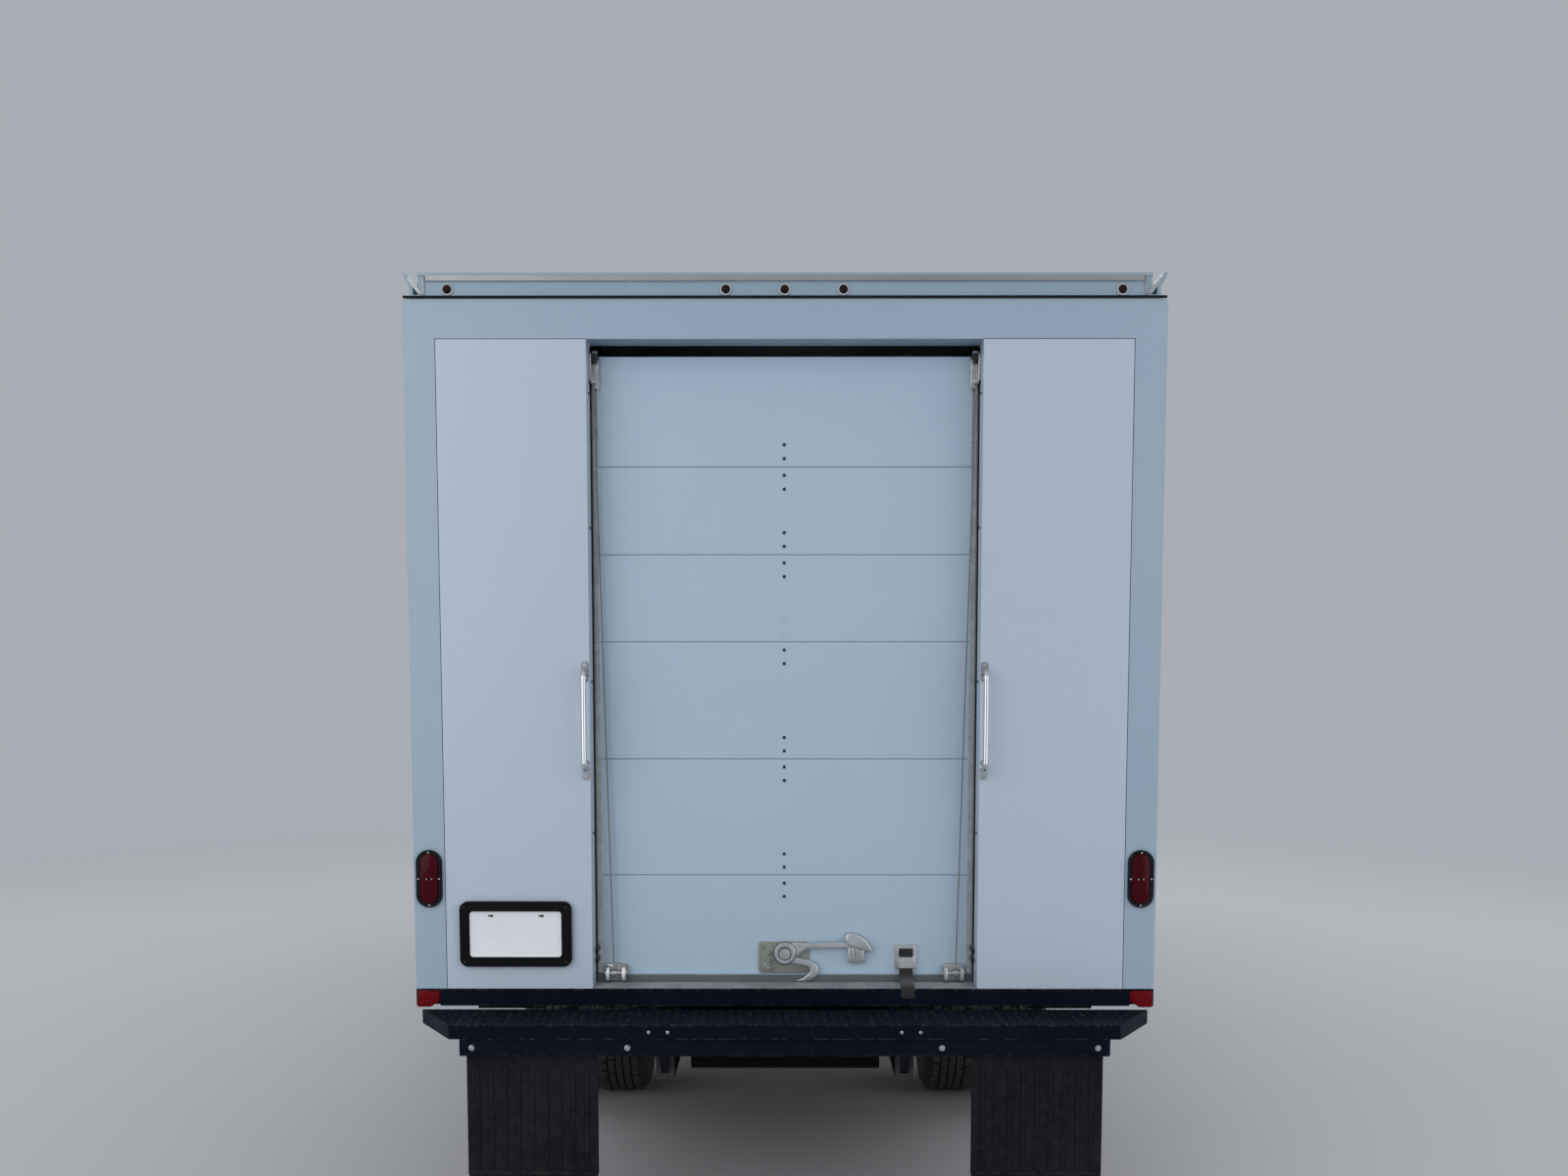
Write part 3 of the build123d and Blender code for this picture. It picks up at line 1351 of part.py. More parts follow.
# Step bumper and flaps
step_top = 768.0
step_height = 46.0
step_far_half = 1200.0
step_near_half = 1065.0


def rear_bumper():
    rear_y = rear_face_y - step_reach
    plan = [
        (-step_far_half, rear_face_y - seat_gap), (-step_near_half, rear_y), (step_near_half, rear_y),
        (step_far_half, rear_face_y - seat_gap),
    ]
    deck_plate = plan_prism(outline_face(plan), (step_top - step_height, step_top))
    inner = [
        (-step_far_half + 30, rear_face_y + 10), (-step_near_half + 14, rear_y + 8), (step_near_half - 14, rear_y + 8),
        (step_far_half - 30, rear_face_y + 10),
    ]
    deck_plate -= plan_prism(outline_face(inner), (step_top - step_height - 1, step_top - 6))
    # Two arms under the deck reach the frame rails
    for side in (-1, 1):
        x = side * (rail_outer - rail_flange / 2)
        arm_end = rear_face_y + 40 - seat_gap
        deck_plate += side_prism(
            outline_face([
                (rear_y + 9, step_top - 5.5), (rear_face_y - 20, step_top - 5.5), (arm_end, rail_top),
                (arm_end, rail_top - rail_height + 20), (rear_y + 9, step_top - step_height),
            ]),
            (x - 12, x + 12),
        )
    return deck_plate


flap_x = (600.0, 1020.0)
flap_z = (250.0, step_top - step_height - 1)


def mud_flap():
    y = rear_face_y - 150
    flap = block(flap_x, (y - 5, y + 5), flap_z)
    flap = fillet(flap.edges().filter_by(Axis.Y).sort_by(Axis.Z)[:2], 20)
    bar = block((flap_x[0] - 10, flap_x[1] + 10), (y + 5, y + 30), (flap_z[1] - 40, step_top - 6 - seat_gap))
    return flap + bar


# Write every piece
write("ladder_frame", ladder_frame())
write("engine_block", [engine_block(), radiator()])
write("driveline", driveline())
write("front_axle", [front_axle()] + both_sides(front_spring()))
write("rear_axle", rear_axle())
write("leaf_springs", both_sides(leaf_spring()))
write("fuel_tank", fuel_tank())
write("exhaust", exhaust())

write("cab_floor", cab_floor())
write("cab_roof", cab_roof())
write("cab_sides", both_sides(cab_side()))
write("cowl", cowl())
write("windshield", windshield())
write("front_fenders", both_sides(fender()))
write("nose_panel", nose_panel())
write("headlamps", both_sides(headlamp()))
write("front_bumper", front_bumper())
write("dashboard", dashboard())
write("steering_wheel", steering_wheel())
write("seat_frames", both_sides(seat_frame()))
cushion, backrest = seat_pads()
write("seat_pads", both_sides(cushion) + both_sides(backrest))

write("box_floor", box_floor())
write("long_sills", both_sides(long_sill()))
write("cross_sills", cross_sills())
write("box_side_walls", both_sides(box_side_wall()))
write("box_front_wall", box_front_wall())
write("box_roof", box_roof())
write("roof_rails", both_sides(roof_rail()))
write("rear_posts", rear_posts())
write("rear_panels", both_sides(rear_panel()))
write("rear_sill", rear_sill())
write("rear_cap", rear_cap())
oval_lens, corner_lens = tail_lamp()
write("lamps", marker_lamps() + both_sides(oval_lens) + both_sides(corner_lens))
write("roller_door", roller_door())
write("door_hinges", door_hinges())
write("door_tracks", both_sides(door_track()))
write("door_fittings", both_sides(door_cable()) + [strap_bracket()])
write("door_latch", door_latch())
write("pull_strap", pull_strap())
write("grab_handles", both_sides(grab_handle()))
write("plate_holder", plate_holder())
write("rear_bumper", rear_bumper())
write("mud_flaps", both_sides(mud_flap()))

write("hood", hood())
for name, place in (("right", lambda shape: shape), ("left", mirrored)):
    write(f"{name}_door", place(door()))
    write(f"{name}_door_glass", place(door_glass()))
    write(f"{name}_mirror", place(door_mirror()))
    write(f"{name}_knuckle", place(knuckle()))
    write(f"front_{name}_rim", place(rim(front_wheel_x, front_axle_y, 1) + front_hub()))
    write(f"front_{name}_tyre", place(tyre(front_wheel_x, front_axle_y)))
    inner_x = dual_middle_x - mount_offset
    outer_x = dual_middle_x + mount_offset
    drum = rod_x((drum_back_x, dual_middle_x - disc_wall), rear_axle_y, axle_z, drum_radius)
    spindle_bore = rod_x((drum_back_x - 1, drum_back_x + rear_spindle_length), rear_axle_y, axle_z, rear_spindle_radius + pin_gap)
    drum += rod_x((dual_middle_x - 30, dual_middle_x + 70), rear_axle_y, axle_z, hub_bore)
    twin = rim(inner_x, rear_axle_y, 1) + rim(outer_x, rear_axle_y, -1) + drum - spindle_bore
    write(f"rear_{name}_rims", place(twin))
    write(f"rear_{name}_tyres", [place(tyre(inner_x, rear_axle_y)), place(tyre(outer_x, rear_axle_y))])
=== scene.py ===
import math
import bpy
import bmesh
from mathutils import Matrix, Vector
from mathutils.bvhtree import BVHTree


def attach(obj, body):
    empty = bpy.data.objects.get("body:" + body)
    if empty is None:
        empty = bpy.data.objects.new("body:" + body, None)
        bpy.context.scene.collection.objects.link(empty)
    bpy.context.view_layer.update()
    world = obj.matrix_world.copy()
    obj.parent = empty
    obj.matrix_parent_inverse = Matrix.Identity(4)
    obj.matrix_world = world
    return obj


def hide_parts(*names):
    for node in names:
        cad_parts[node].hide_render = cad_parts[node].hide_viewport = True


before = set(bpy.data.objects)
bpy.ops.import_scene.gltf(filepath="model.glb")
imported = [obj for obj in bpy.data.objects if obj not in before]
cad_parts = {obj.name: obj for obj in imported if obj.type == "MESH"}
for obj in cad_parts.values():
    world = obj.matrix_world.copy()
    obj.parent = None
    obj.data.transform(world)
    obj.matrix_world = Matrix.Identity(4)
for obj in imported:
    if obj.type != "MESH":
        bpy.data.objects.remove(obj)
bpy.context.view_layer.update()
print("frame loaded:", len(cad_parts), "nodes")

# Places on the van that several pieces share, in metres
van = {
    "rearFace": -2.9035, "boxFront": 0.7545, "frontAxle": 2.2535, "rearAxle": -1.2775, "halfBox": 1.219,
    "openingTop": 2.941, "doorFace": -2.8032, "axleZ": 0.3715, "halfOpening": 0.635,
}
rear, doorFace, axleZ = van["rearFace"], van["doorFace"], van["axleZ"]
across, upward, backward, forward = Vector((1, 0, 0)), Vector((0, 0, 1)), Vector((0, -1, 0)), Vector((0, 1, 0))
sides = (("left", -1), ("right", 1))


def ahead(distance):
    return van["frontAxle"] + distance


# Shader helpers: an input given as another node's output is linked, any other value is set

def feed(tree, node, inputs):
    for key, value in inputs.items():
        if isinstance(value, bpy.types.NodeSocket):
            tree.links.new(value, node.inputs[key])
        else:
            node.inputs[key].default_value = value
    return node


def addNode(tree, kind, inputs=None, take=None, **settings):
    # Returns the output named by take, or else the first one in use
    node = tree.nodes.new("ShaderNode" + kind)
    for key, value in settings.items():
        setattr(node, key, value)
    feed(tree, node, inputs or {})
    return node.outputs[take] if take else next(socket for socket in node.outputs if socket.enabled)


def addNoise(tree, place, scale, detail, **more):
    return addNode(tree, "TexNoise", {"Vector": place, "Scale": scale, "Detail": detail, **more})


def addRange(tree, value, low, high, first=0.0, last=1.0, **settings):
    span = {"Value": value, "From Min": low, "From Max": high, "To Min": first, "To Max": last}
    return addNode(tree, "MapRange", span, **settings)


def addMath(tree, operation, values, **settings):
    return addNode(tree, "Math", dict(enumerate(values)), operation=operation, **settings)


def addMix(tree, factor, first, second, **settings):
    return addNode(tree, "Mix", {"Factor": factor, "A": first, "B": second}, data_type="RGBA", **settings)


def addScaled(tree, place, factors):
    return addNode(tree, "VectorMath", {0: place, 1: factors}, operation="MULTIPLY")


def objectPlace(tree):
    return addNode(tree, "TexCoord", take="Object")


def addBump(tree, shader, height, distance, strength=1.0):
    bump = addNode(tree, "Bump", {"Strength": strength, "Distance": distance, "Height": height})
    feed(tree, shader, {"Normal": bump})


def newGroup(name, given, made):
    # A value of four numbers makes a colour socket, one of three a vector, a plain number a float
    tree = bpy.data.node_groups.new(name, "ShaderNodeTree")
    for label, value in given.items():
        kind = {4: "Color", 3: "Vector"}[len(value)] if isinstance(value, tuple) else "Float"
        tree.interface.new_socket(name=label, in_out="INPUT",
                                  socket_type="NodeSocket" + kind).default_value = value
    for label in made:
        kind = "Color" if label == "Color" else "Float"
        tree.interface.new_socket(name=label, in_out="OUTPUT", socket_type="NodeSocket" + kind)
    return tree, tree.nodes.new("NodeGroupInput").outputs, tree.nodes.new("NodeGroupOutput")


def useGroup(tree, group, inputs):
    node = tree.nodes.new("ShaderNodeGroup")
    node.node_tree = group
    return feed(tree, node, inputs).outputs


# Shared effects

def makeWeathering():
    # Slow drift between two colours, then dust on faces that look up
    tree, given, out = newGroup("weathering", {
        "Color": (0.8, 0.8, 0.8, 1), "Second": (0.7, 0.7, 0.7, 1), "Drift": 0.5, "Drift Scale": 1.5,
        "Dust Color": (0.35, 0.33, 0.3, 1), "Dust": 0.2, "Smooth": 0.3, "Dull": 0.5,
    }, ("Color", "Roughness"))
    place = objectPlace(tree)
    broad = addNoise(tree, place, given["Drift Scale"], 4.0, Roughness=0.55)
    drift = addMath(tree, "MULTIPLY", (addRange(tree, broad, 0.35, 0.65), given["Drift"]))
    mixed = addMix(tree, drift, given["Color"], given["Second"])
    normal = addNode(tree, "NewGeometry", take="Normal")
    facing = addRange(tree, addNode(tree, "SeparateXYZ", {0: normal}, take="Z"), 0.2, 1.0, 0.12)
    patches = addRange(tree, addNoise(tree, place, 38.0, 6.0, Roughness=0.7), 0.38, 0.72)
    amount = addMath(tree, "MULTIPLY", (addMath(tree, "MULTIPLY", (facing, patches)), given["Dust"]))
    smear = addNoise(tree, place, 6.0, 5.0, Distortion=0.6)
    level = addRange(tree, smear, 0.3, 0.7, given["Smooth"], given["Dull"])
    feed(tree, out, {
        "Color": addMix(tree, amount, mixed, given["Dust Color"]),
        "Roughness": addMath(tree, "MULTIPLY_ADD", (amount, 0.35, level), use_clamp=True),
    })
    return tree


def makeGrain():
    # Moulded or painted skin: broad waves with fine pores over them
    tree, given, out = newGroup("grain", {"Scale": 400.0, "Waves": 0.3, "Wave Scale": 3.0}, ("Height",))
    place = objectPlace(tree)
    pores, wave = addNoise(tree, place, given["Scale"], 2.0), addNoise(tree, place, given["Wave Scale"], 1.0)
    feed(tree, out, {"Height": addMath(tree, "MULTIPLY_ADD", (wave, given["Waves"], pores))})
    return tree


def makeBrushing():
    # Fine lines along one direction, for rolled and brushed metal
    sockets = {"Stretch": (400.0, 400.0, 6.0), "Depth": 0.15, "Base": 0.3}
    tree, given, out = newGroup("brushing", sockets, ("Roughness", "Height"))
    lines = addNoise(tree, addScaled(tree, objectPlace(tree), given["Stretch"]), 1.0, 3.0)
    rough = addMath(tree, "MULTIPLY_ADD", (lines, given["Depth"], given["Base"]), use_clamp=True)
    feed(tree, out, {"Roughness": rough, "Height": lines})
    return tree


def makeEdgeWear():
    # Bare metal where an outer edge has been rubbed
    tree, given, out = newGroup("edgeWear", {
        "Color": (0.1, 0.1, 0.1, 1), "Bare": (0.5, 0.5, 0.52, 1), "Wear": 0.5, "Width": 0.004,
    }, ("Color", "Mask"))
    soft = addNode(tree, "Bevel", {"Radius": given["Width"]}, samples=4)
    normal = addNode(tree, "NewGeometry", take="Normal")
    edge = addRange(tree, addNode(tree, "VectorMath", {0: soft, 1: normal}, operation="DOT_PRODUCT"), 0.98,
                    0.85)
    chips = addRange(tree, addNoise(tree, objectPlace(tree), 60.0, 5.0, Roughness=0.65), 0.48, 0.62)
    worn = addMath(tree, "MULTIPLY", (addMath(tree, "MULTIPLY", (edge, chips)), given["Wear"]), use_clamp=True)
    feed(tree, out, {"Color": addMix(tree, worn, given["Color"], given["Bare"]), "Mask": worn})
    return tree


weathering, grain, brushing, edgeWear = makeWeathering(), makeGrain(), makeBrushing(), makeEdgeWear()

# One row a finish, colours linear; what is rare stands in a dictionary at the row's end
paintColumns = ("color", "second", "drift", "driftScale", "dust", "smooth", "dull", "grain", "waves",
                "waveScale", "bump")
paints = {
    # The box's whites (box, posts, door, cap band) are written darker and bluer than white: painted shade and a
    # cool cast over their own white
    "boxWhiteShaded": ((0.46, 0.55, 0.66), (0.48, 0.565, 0.67), 0.6, 0.5, 0.012, 0.33, 0.37, 260, 1.2, 2, 0.0006,
                 {"coat": 0.12}),
    "postWhiteShaded": ((0.325, 0.43, 0.535), (0.345, 0.445, 0.55), 0.6, 0.8, 0.015, 0.28, 0.4, 260, 1.5, 3, 0.0005,
                  {"coat": 0.12}),
    "doorWhite": ((0.41, 0.535, 0.65), (0.43, 0.55, 0.66), 0.6, 0.7, 0.025, 0.32, 0.46, 300, 2, 3.5, 0.0006,
                  {"coat": 0.2}),
    "cabWhite": ((0.51, 0.575, 0.655), (0.53, 0.59, 0.665), 0.5, 0.6, 0.015, 0.16, 0.24, 320, 0.6, 4, 0.0003,
                 {"coat": 0.35}),
    "capBandShaded": ((0.265, 0.37, 0.46), (0.285, 0.385, 0.475), 0.6, 0.9, 0.015, 0.26, 0.36, 260, 1.5, 3, 0.0005,
                {"coat": 0.12}),
    "wheelWhite": ((0.42, 0.46, 0.5), (0.33, 0.35, 0.37), 0.6, 9, 0.35, 0.3, 0.5, 300, 0.5, 10, 0.0004,
                   {"coat": 0.2}),
    "plateWhite": ((0.84, 0.87, 0.91), (0.79, 0.83, 0.88), 0.5, 9, 0.04, 0.22, 0.32, 900, 0.5, 20, 0.0002,
                   {"coat": 0.4}),
    "chassisBlack": ((0.016, 0.017, 0.019), (0.03, 0.029, 0.028), 0.8, 4, 0.45, 0.45, 0.7, 180, 0.8, 12, 0.001,
                     {"wear": 0.35, "bare": (0.16, 0.1, 0.07)}),
    "stepBlack": ((0.0025, 0.0045, 0.011), (0.005, 0.0085, 0.018), 0.8, 2.5, 0.035, 0.3, 0.5, 220, 0.6, 10,
                  0.0008, {"wear": 0.5, "bare": (0.25, 0.29, 0.33), "specular": 0.03}),
    "mouldedBlack": ((0.005, 0.005, 0.006), (0.009, 0.009, 0.01), 0.6, 5, 0.02, 0.42, 0.6, 900, 0.4, 14, 0.0012,
                     {"specular": 0.06}),
    "flapRubber": ((0.006, 0.007, 0.01), (0.012, 0.013, 0.017), 0.8, 4, 0.25, 0.55, 0.8, 500, 0.6, 8, 0.001,
                   {"specular": 0.08}),
    "grilleGrey": ((0.045, 0.047, 0.05), (0.06, 0.062, 0.065), 0.6, 5, 0.12, 0.35, 0.5, 800, 0.4, 14, 0.0008),
    "cabLining": ((0.1, 0.1, 0.105), (0.125, 0.125, 0.13), 0.6, 3, 0.12, 0.5, 0.7, 700, 0.6, 9, 0.0014),
    "engineIron": ((0.09, 0.088, 0.085), (0.14, 0.12, 0.1), 1, 8, 0.4, 0.5, 0.75, 150, 0.8, 20, 0.003,
                   {"metallic": 0.6}),
    "exhaustSteel": ((0.2, 0.17, 0.14), (0.3, 0.25, 0.2), 1, 6, 0.3, 0.4, 0.7, 160, 0.5, 9, 0.0015,
                     {"metallic": 0.8}),
    "tyreRubber": ((0.013, 0.013, 0.014), (0.024, 0.023, 0.022), 0.7, 7, 0.35, 0.6, 0.85, 600, 0.5, 15, 0.001),
    "grommetGrey": ((0.42, 0.45, 0.48), (0.36, 0.39, 0.41), 0.5, 30, 0.1, 0.5, 0.6, 900, 0.3, 30, 0.0004),
}
metalColumns = ("color", "second", "drift", "driftScale", "dust", "base", "depth", "stretch", "bump",
                "metallic")
metals = {
    # A darker copy of the rail metal: painted shade, for the strip that stands in for the shaded underside of
    # the cap's lip
    "railMetalShaded": ((0.36, 0.39, 0.41), (0.29, 0.32, 0.34), 0.8, 3, 0.15, 0.3, 0.18, (8, 500, 500), 0.0002,
                      0.75),
    "railSide": ((0.42, 0.45, 0.47), (0.34, 0.37, 0.39), 0.8, 3, 0.15, 0.3, 0.18, (500, 8, 500), 0.0002, 0.75),
    "trackSteel": ((0.42, 0.43, 0.43), (0.32, 0.33, 0.34), 0.9, 14, 0.2, 0.32, 0.2, (300, 300, 5), 0.0002, 0.9),
    "latchSteel": ((0.6, 0.65, 0.68), (0.48, 0.51, 0.52), 0.9, 22, 0.1, 0.26, 0.16, (60, 60, 60), 0.0003, 0.85),
    "latchPlate": ((0.3, 0.32, 0.29), (0.24, 0.25, 0.22), 0.9, 18, 0.1, 0.38, 0.2, (60, 60, 60), 0.0003, 0.6),
    "boltSteel": ((0.55, 0.56, 0.57), (0.4, 0.4, 0.4), 0.8, 30, 0.12, 0.2, 0.2, (80, 80, 80), 0.0002, 1),
    "darkBolt": ((0.012, 0.014, 0.018), (0.03, 0.032, 0.036), 0.8, 40, 0.05, 0.3, 0.2, (80, 80, 80), 0.0002,
                 0.3),
    "handleChrome": ((0.66, 0.69, 0.72), (0.55, 0.58, 0.6), 0.5, 14, 0.05, 0.08, 0.1, (20, 20, 4), 0.0001, 1),
    "bumperChrome": ((0.58, 0.6, 0.62), (0.5, 0.52, 0.54), 0.5, 2, 0.1, 0.1, 0.08, (6, 20, 20), 0.0001, 1),
    "mirrorFace": ((0.78, 0.8, 0.82), (0.74, 0.76, 0.78), 0.4, 3, 0.02, 0.02, 0.02, (9, 9, 9), 0.00002, 1),
    "thresholdSteel": ((0.48, 0.5, 0.52), (0.3, 0.32, 0.34), 0.9, 8, 0.15, 0.3, 0.25, (6, 300, 300), 0.0003,
                       0.9),
    "doorRail": ((0.13, 0.16, 0.175), (0.18, 0.205, 0.22), 0.8, 5, 0.1, 0.4, 0.2, (6, 300, 300), 0.0003, 0.5),
}


def startMaterial(name):
    material = bpy.data.materials.new(name)
    material.use_nodes = True
    return material, material.node_tree, material.node_tree.nodes["Principled BSDF"]


def makeFinish(name, columns, row):
    spec = {**dict(zip(columns, row)), **(row[-1] if len(row) > len(columns) else {})}
    material, tree, shader = startMaterial(name)
    weather = useGroup(tree, weathering, {
        "Color": (*spec["color"], 1), "Second": (*spec["second"], 1), "Drift": spec["drift"],
        "Drift Scale": spec["driftScale"], "Dust": spec["dust"], "Smooth": spec.get("smooth", 0.3),
        "Dull": spec.get("dull", 0.5),
    })
    feed(tree, shader, {
        "Metallic": spec.get("metallic", 0.0), "Coat Weight": spec.get("coat", 0.0), "Coat Roughness": 0.12,
        "Specular IOR Level": spec.get("specular", 0.5), "Base Color": weather["Color"],
    })
    if "wear" in spec:
        worn = useGroup(tree, edgeWear, {"Bare": (*spec["bare"], 1), "Wear": spec["wear"],
                                         "Color": weather["Color"]})
        feed(tree, shader, {"Base Color": worn["Color"], "Metallic": worn["Mask"]})
    if "stretch" in spec:
        rough = skin = useGroup(tree, brushing, {"Stretch": spec["stretch"], "Depth": spec["depth"],
                                                 "Base": spec["base"]})
    else:
        skin = useGroup(tree, grain, {"Scale": spec["grain"], "Waves": spec["waves"],
                                      "Wave Scale": spec["waveScale"]})
        rough = weather
    feed(tree, shader, {"Roughness": rough["Roughness"]})
    addBump(tree, shader, skin["Height"], spec["bump"])
    return material


def makeGlass(name, tint, ripple):
    material, tree, shader = startMaterial(name)
    feed(tree, shader, {"Base Color": (*tint, 1), "Transmission Weight": 1.0, "IOR": 1.45, "Roughness": 0.02})
    addBump(tree, shader, addNoise(tree, objectPlace(tree), 2.5, 1.0), ripple, 0.3)
    return material


def makeLens(name, dark, bright, cell):
    # Moulded lens: small prisms behind a smooth outer skin
    material, tree, shader = startMaterial(name)
    prisms = addNode(tree, "TexVoronoi", {"Vector": objectPlace(tree), "Scale": cell, "Randomness": 0.0},
                     distance="CHEBYCHEV")
    feed(tree, shader, {
        "Base Color": addMix(tree, addRange(tree, prisms, 0.0, 0.6), (*bright, 1), (*dark, 1)),
        "Roughness": 0.16, "Coat Weight": 0.12, "Coat Roughness": 0.04, "Specular IOR Level": 0.06,
    })
    addBump(tree, shader, prisms, 0.001, 0.5)
    return material


def makeWood(name):
    # Hardwood boards that run along the load floor, 31 mm wide
    material, tree, shader = startMaterial(name)
    place = objectPlace(tree)
    boards = addNode(tree, "TexBrick", {
        "Vector": addNode(tree, "Mapping", {"Vector": place, "Rotation": (0, 0, math.pi / 2)}),
        "Color1": (0.3, 0.19, 0.1, 1), "Color2": (0.42, 0.29, 0.17, 1), "Mortar": (0.06, 0.035, 0.02, 1),
        "Scale": 1.0, "Mortar Size": 0.0012, "Brick Width": 1.1, "Row Height": 0.031,
    }, offset=0.37, offset_frequency=2)
    fibre = addNoise(tree, addScaled(tree, place, (160.0, 5.0, 40.0)), 1.0, 5.0)
    shade = addMix(tree, 0.5, boards, fibre.node.outputs["Color"], blend_type="MULTIPLY")
    feed(tree, shader, {"Base Color": shade, "Roughness": 0.5})
    addBump(tree, shader, fibre, 0.0008, 0.6)
    return material


def makeWeave(name, color, second, stretch, depth, roughness=0.75):
    # Woven or ribbed surface on Object coordinates
    material, tree, shader = startMaterial(name)
    place = objectPlace(tree)
    checks = {"Vector": addScaled(tree, place, stretch), "Scale": 1.0, "Color1": (*color, 1),
              "Color2": (*second, 1)}
    threads = addNode(tree, "TexChecker", checks).node.outputs
    fuzz = addNoise(tree, place, 300.0, 3.0)
    shade = addMix(tree, 0.35, threads["Color"], fuzz.node.outputs["Color"], blend_type="OVERLAY")
    feed(tree, shader, {"Base Color": shade, "Roughness": roughness, "Sheen Weight": 0.3})
    addBump(tree, shader, addMath(tree, "MULTIPLY_ADD", (fuzz, 0.4, threads["Fac"])), depth, 0.7)
    return material


def makeVinyl(name):
    # Seat vinyl: leather-like cells, creases and paler high spots
    material, tree, shader = startMaterial(name)
    place = objectPlace(tree)
    cells = addNode(tree, "TexVoronoi", {"Vector": place, "Scale": 420.0}, feature="DISTANCE_TO_EDGE")
    crease = addNoise(tree, place, 14.0, 6.0, Distortion=0.8)
    tone = addMix(tree, crease, (0.045, 0.046, 0.05, 1), (0.085, 0.086, 0.092, 1))
    feed(tree, shader, {"Base Color": tone, "Roughness": addRange(tree, crease, 0.0, 1.0, 0.38, 0.6)})
    addBump(tree, shader, addMath(tree, "MULTIPLY_ADD", (crease, 2.0, cells)), 0.0012, 0.5)
    return material


materials = {name: makeFinish(name, columns, row)
             for columns, table in ((paintColumns, paints), (metalColumns, metals))
             for name, row in table.items()}
for make, name, *values in (
    (makeGlass, "windowGlass", (0.82, 0.9, 0.88), 0.0004), (makeGlass, "lampClear", (0.95, 0.97, 0.98), 0.002),
    (makeLens, "lampRed", (0.03, 0.0, 0.004), (0.085, 0.001, 0.006), 95.0),
    (makeLens, "cornerRed", (0.09, 0.0005, 0.003), (0.19, 0.002, 0.006), 120.0),
    (makeLens, "markerDark", (0.006, 0.004, 0.006), (0.03, 0.006, 0.008), 220.0),
    (makeWood, "floorWood"), (makeVinyl, "seatVinyl"),
    (makeWeave, "strapWebbing", (0.004, 0.004, 0.006), (0.009, 0.009, 0.012), (700, 300, 300), 0.0006),
    (makeWeave, "cableWire", (0.09, 0.1, 0.11), (0.3, 0.32, 0.34), (900, 900, 420), 0.0008, 0.35),
):
    materials[name] = make(name, *values)
print("finishes made:", len(materials))

# The finish of each node that stays as it is
nodeFinish = {
    "chassisBlack": "ladder_frame front_axle rear_axle leaf_springs long_sills cross_sills left_knuckle "
                    "right_knuckle",
    "engineIron": "engine_block driveline", "exhaustSteel": "exhaust", "cabLining": "cab_floor dashboard",
    "mouldedBlack": "fuel_tank steering_wheel seat_frames plate_holder left_mirror right_mirror",
    "cabWhite": "cab_roof cab_sides cowl front_fenders nose_panel hood left_door right_door",
    "windowGlass": "windshield left_door_glass right_door_glass", "lampClear": "headlamps",
    "bumperChrome": "front_bumper", "seatVinyl": "seat_pads", "floorWood": "box_floor",
    "boxWhiteShaded": "box_side_walls box_front_wall box_roof rear_panels",
    "postWhiteShaded": "rear_posts", "railSide": "roof_rails", "capBandShaded": "rear_cap",
    "stepBlack": "rear_sill rear_bumper", "lampRed": "lamps", "doorWhite": "roller_door",
    "trackSteel": "door_tracks door_fittings door_hinges",
    "latchSteel": "door_latch", "strapWebbing": "pull_strap", "handleChrome": "grab_handles",
    "flapRubber": "mud_flaps", "wheelWhite": "front_left_rim front_right_rim rear_left_rims rear_right_rims",
    "tyreRubber": "front_left_tyre front_right_tyre rear_left_tyres rear_right_tyres",
}
for finish, names in nodeFinish.items():
    for name in names.split():
        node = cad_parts[name]
        node.data.materials.clear()
        node.data.materials.append(materials[finish])


# Modelling helpers

def newShapes(count):
    return [bmesh.new() for _ in range(count)]


def bevelEdges(bm, items, bevel, segments):
    edges = list({edge for item in items
                  for edge in (item.edges if isinstance(item, bmesh.types.BMFace) else item.link_edges)})
    bmesh.ops.bevel(bm, geom=edges, offset=bevel, offset_type="OFFSET", segments=segments, profile=0.5,
                    affect="EDGES", material=-1, clamp_overlap=True)


def addBlock(bm, low, high, bevel=0.0, segments=2):
    low, high = Vector(low), Vector(high)
    made = bmesh.ops.create_cube(bm, size=1.0)["verts"]
    bmesh.ops.scale(bm, vec=high - low, verts=made)
    bmesh.ops.translate(bm, vec=(low + high) / 2, verts=made)
    if bevel:
        bevelEdges(bm, made, bevel, segments)


def addBar(bm, x, y, z, bevel=0.0, segments=2):
    # A block given as its spans along the three axes, each in either order
    addBlock(bm, *zip(sorted(x), sorted(y), sorted(z)), bevel, segments)


def around(middle, half):
    return middle - half, middle + half


def addDisc(bm, base, axis, radius, depth, count=24, top=None):
    # Round or many-sided boss that rises from base along axis
    axis = Vector(axis).normalized()
    turn = upward.rotation_difference(axis).to_matrix().to_4x4()
    place = Matrix.Translation(Vector(base) + axis * depth / 2) @ turn
    bmesh.ops.create_cone(bm, cap_ends=True, segments=count, radius1=radius,
                          radius2=radius if top is None else top, depth=depth, matrix=place)


def addStack(bm, base, axis, *discs):
    # Discs one on another, each (radius, depth, sides, radius at its top)
    axis, base = Vector(axis).normalized(), Vector(base)
    for radius, depth, count, top in discs:
        addDisc(bm, base, axis, radius, depth, count, top)
        base = base + axis * depth


def addBolt(bm, base, axis, size):
    washer, crown = (size * 1.3, size * 0.22, 14, None), (size * 0.86, size * 0.1, 6, size * 0.7)
    addStack(bm, base, axis, washer, (size, size * 0.6, 6, None), crown)


def addRivet(bm, base, axis, radius, height, count=10):
    addStack(bm, base, axis, (radius, height * 0.55, count, radius * 0.86),
             (radius * 0.86, height * 0.45, count, radius * 0.4))


